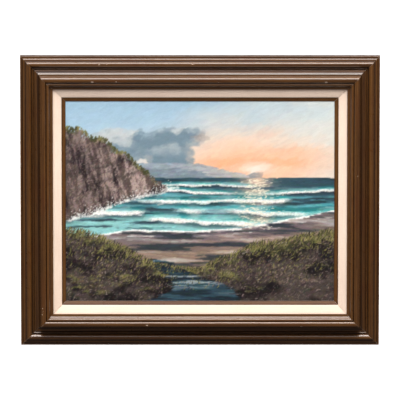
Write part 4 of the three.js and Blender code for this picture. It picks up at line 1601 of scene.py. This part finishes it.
class PAINTING_OT_stage(bpy.types.Operator):
    """Set up the floor, lights, background and camera"""

    bl_idname = "painting.stage"
    bl_label = "Stage"

    def execute(self, context):
        stage = context.scene.painting_stage
        context.scene.view_settings.view_transform = "Standard"
        middle = Vector((CENTRE_X, FRONT_Y, CENTRE_Z + stage.rise))
        add_camera(context.scene, stage, middle)
        add_floor(stage)
        add_skylight(stage)
        add_studio(context.scene)
        for lamp in LAMPS:
            add_lamp(middle, *lamp)
        return {"FINISHED"}


def add_camera(scene, stage, middle):
    """A camera aimed at the middle, with the lens that gives the set width of view."""
    data = bpy.data.cameras.new("camera")
    data.lens = data.sensor_width * stage.distance / stage.view_width
    data.clip_start, data.clip_end = 0.1, 200.0
    away = Vector((0, -math.cos(stage.elevation), math.sin(stage.elevation)))
    camera = added("camera", data)
    camera.location = middle + away * stage.distance
    camera.rotation_euler = (-away).to_track_quat("-Z", "Y").to_euler()
    scene.camera = camera


def add_floor(stage):
    """A pale floor, which the camera sees, and which doesn't light or show in the object."""
    level = FRAME_BOTTOM - stage.floor_drop
    corners = [(x * FLOOR_REACH, y * FLOOR_REACH, level) for x, y in ((-1, -1), (1, -1), (1, 1), (-1, 1))]
    mesh = bpy.data.meshes.new("floor")
    mesh.from_pydata(corners, [], [(0, 1, 2, 3)])
    floor = added("floor", mesh)
    pale, tree, shader = new_material("pale floor", Roughness=0.9)
    feed(tree, shader["Base Color"], (0.95, 0.95, 0.95, 1))
    mesh.materials.append(pale)
    floor.visible_glossy = floor.visible_diffuse = False


def add_skylight(stage):
    """A broad light from high in front."""
    sky = bpy.data.lights.new("skylight", "SUN")
    sky.energy, sky.angle, sky.color = stage.sun, math.radians(SKYLIGHT_SPREAD), colour("fff9f4")[:3]
    lamp = added("skylight", sky)
    lamp.rotation_euler = (math.radians(90 - SKYLIGHT_ELEVATION), 0, 0)


def add_studio(scene):
    """A white room to the camera, a soft dome to matt surfaces, and a dim room in the lacquer."""
    world = bpy.data.worlds.new("studio")
    scene.world = world
    world.use_nodes = True
    tree = world.node_tree
    seen = node(tree, "Background", {"Color": (1, 1, 1, 1), "Strength": 1.0}).outputs[0]
    height = node(tree, "SeparateXYZ", {0: node(tree, "TexCoord").outputs["Generated"]}).outputs[2]
    dome = fit(tree, height, -0.2, 0.6, DOME_LOW, DOME_HIGH)
    felt = node(tree, "Background", {"Color": (1.0, 0.87, 0.85, 1), "Strength": dome}).outputs[0]
    mirrored = node(tree, "Background", {"Color": (1.0, 0.9, 0.86, 1), "Strength": MIRRORED}).outputs[0]
    ray = node(tree, "LightPath").outputs
    unseen = node(tree, "MixShader", {0: ray["Is Glossy Ray"], 1: felt, 2: mirrored}).outputs[0]
    joined = node(tree, "MixShader", {0: ray["Is Camera Ray"], 1: unseen, 2: seen})
    tree.links.new(joined.outputs[0], tree.nodes["World Output"].inputs["Surface"])


def add_lamp(middle, label, x, angle, wide, high, power, text):
    """One soft light, facing the middle of the picture."""
    light = bpy.data.lights.new(label, "AREA")
    light.shape, light.size, light.size_y = "RECTANGLE", wide, high
    light.energy, light.color = power, colour(text)[:3]
    lift = math.radians(angle)
    toward = Vector((x, -math.cos(lift), math.sin(lift))).normalized()
    lamp = added(label, light)
    lamp.location = middle + toward * LAMP_DISTANCE
    lamp.rotation_euler = (-toward).to_track_quat("-Z", "Y").to_euler()


class PAINTING_PT_panel(bpy.types.Panel):
    """The add-on's buttons and settings"""

    bl_label = "Framed Oil Painting"
    bl_idname = "PAINTING_PT_panel"
    bl_space_type = "VIEW_3D"
    bl_region_type = "UI"
    bl_category = "Painting"

    def draw(self, context):
        for operator in OPERATORS:
            self.layout.operator(operator.bl_idname)
        scene = context.scene
        for group in (scene.painting_finish, scene.painting_colours, scene.painting_stage):
            box = self.layout.box()
            for key in group.bl_rna.properties.keys():
                if key not in ("rna_type", "name"):
                    box.prop(group, key)


OPERATORS = (
    PAINTING_OT_stage,
    PAINTING_OT_groups,
    PAINTING_OT_moulding,
    PAINTING_OT_liner,
    PAINTING_OT_canvas,
    PAINTING_OT_fittings,
)
CLASSES = (PaintingFinish, PaintingColours, PaintingStage, *OPERATORS, PAINTING_PT_panel)


def register():
    for item in CLASSES:
        bpy.utils.register_class(item)
    bpy.types.Scene.painting_finish = bpy.props.PointerProperty(type=PaintingFinish)
    bpy.types.Scene.painting_colours = bpy.props.PointerProperty(type=PaintingColours)
    bpy.types.Scene.painting_stage = bpy.props.PointerProperty(type=PaintingStage)


def unregister():
    del bpy.types.Scene.painting_stage
    del bpy.types.Scene.painting_colours
    del bpy.types.Scene.painting_finish
    for item in reversed(CLASSES):
        bpy.utils.unregister_class(item)


def main():
    register()
    for operator in OPERATORS:
        group, name = operator.bl_idname.split(".")
        getattr(getattr(bpy.ops, group), name)()


if __name__ == "__main__":
    main()
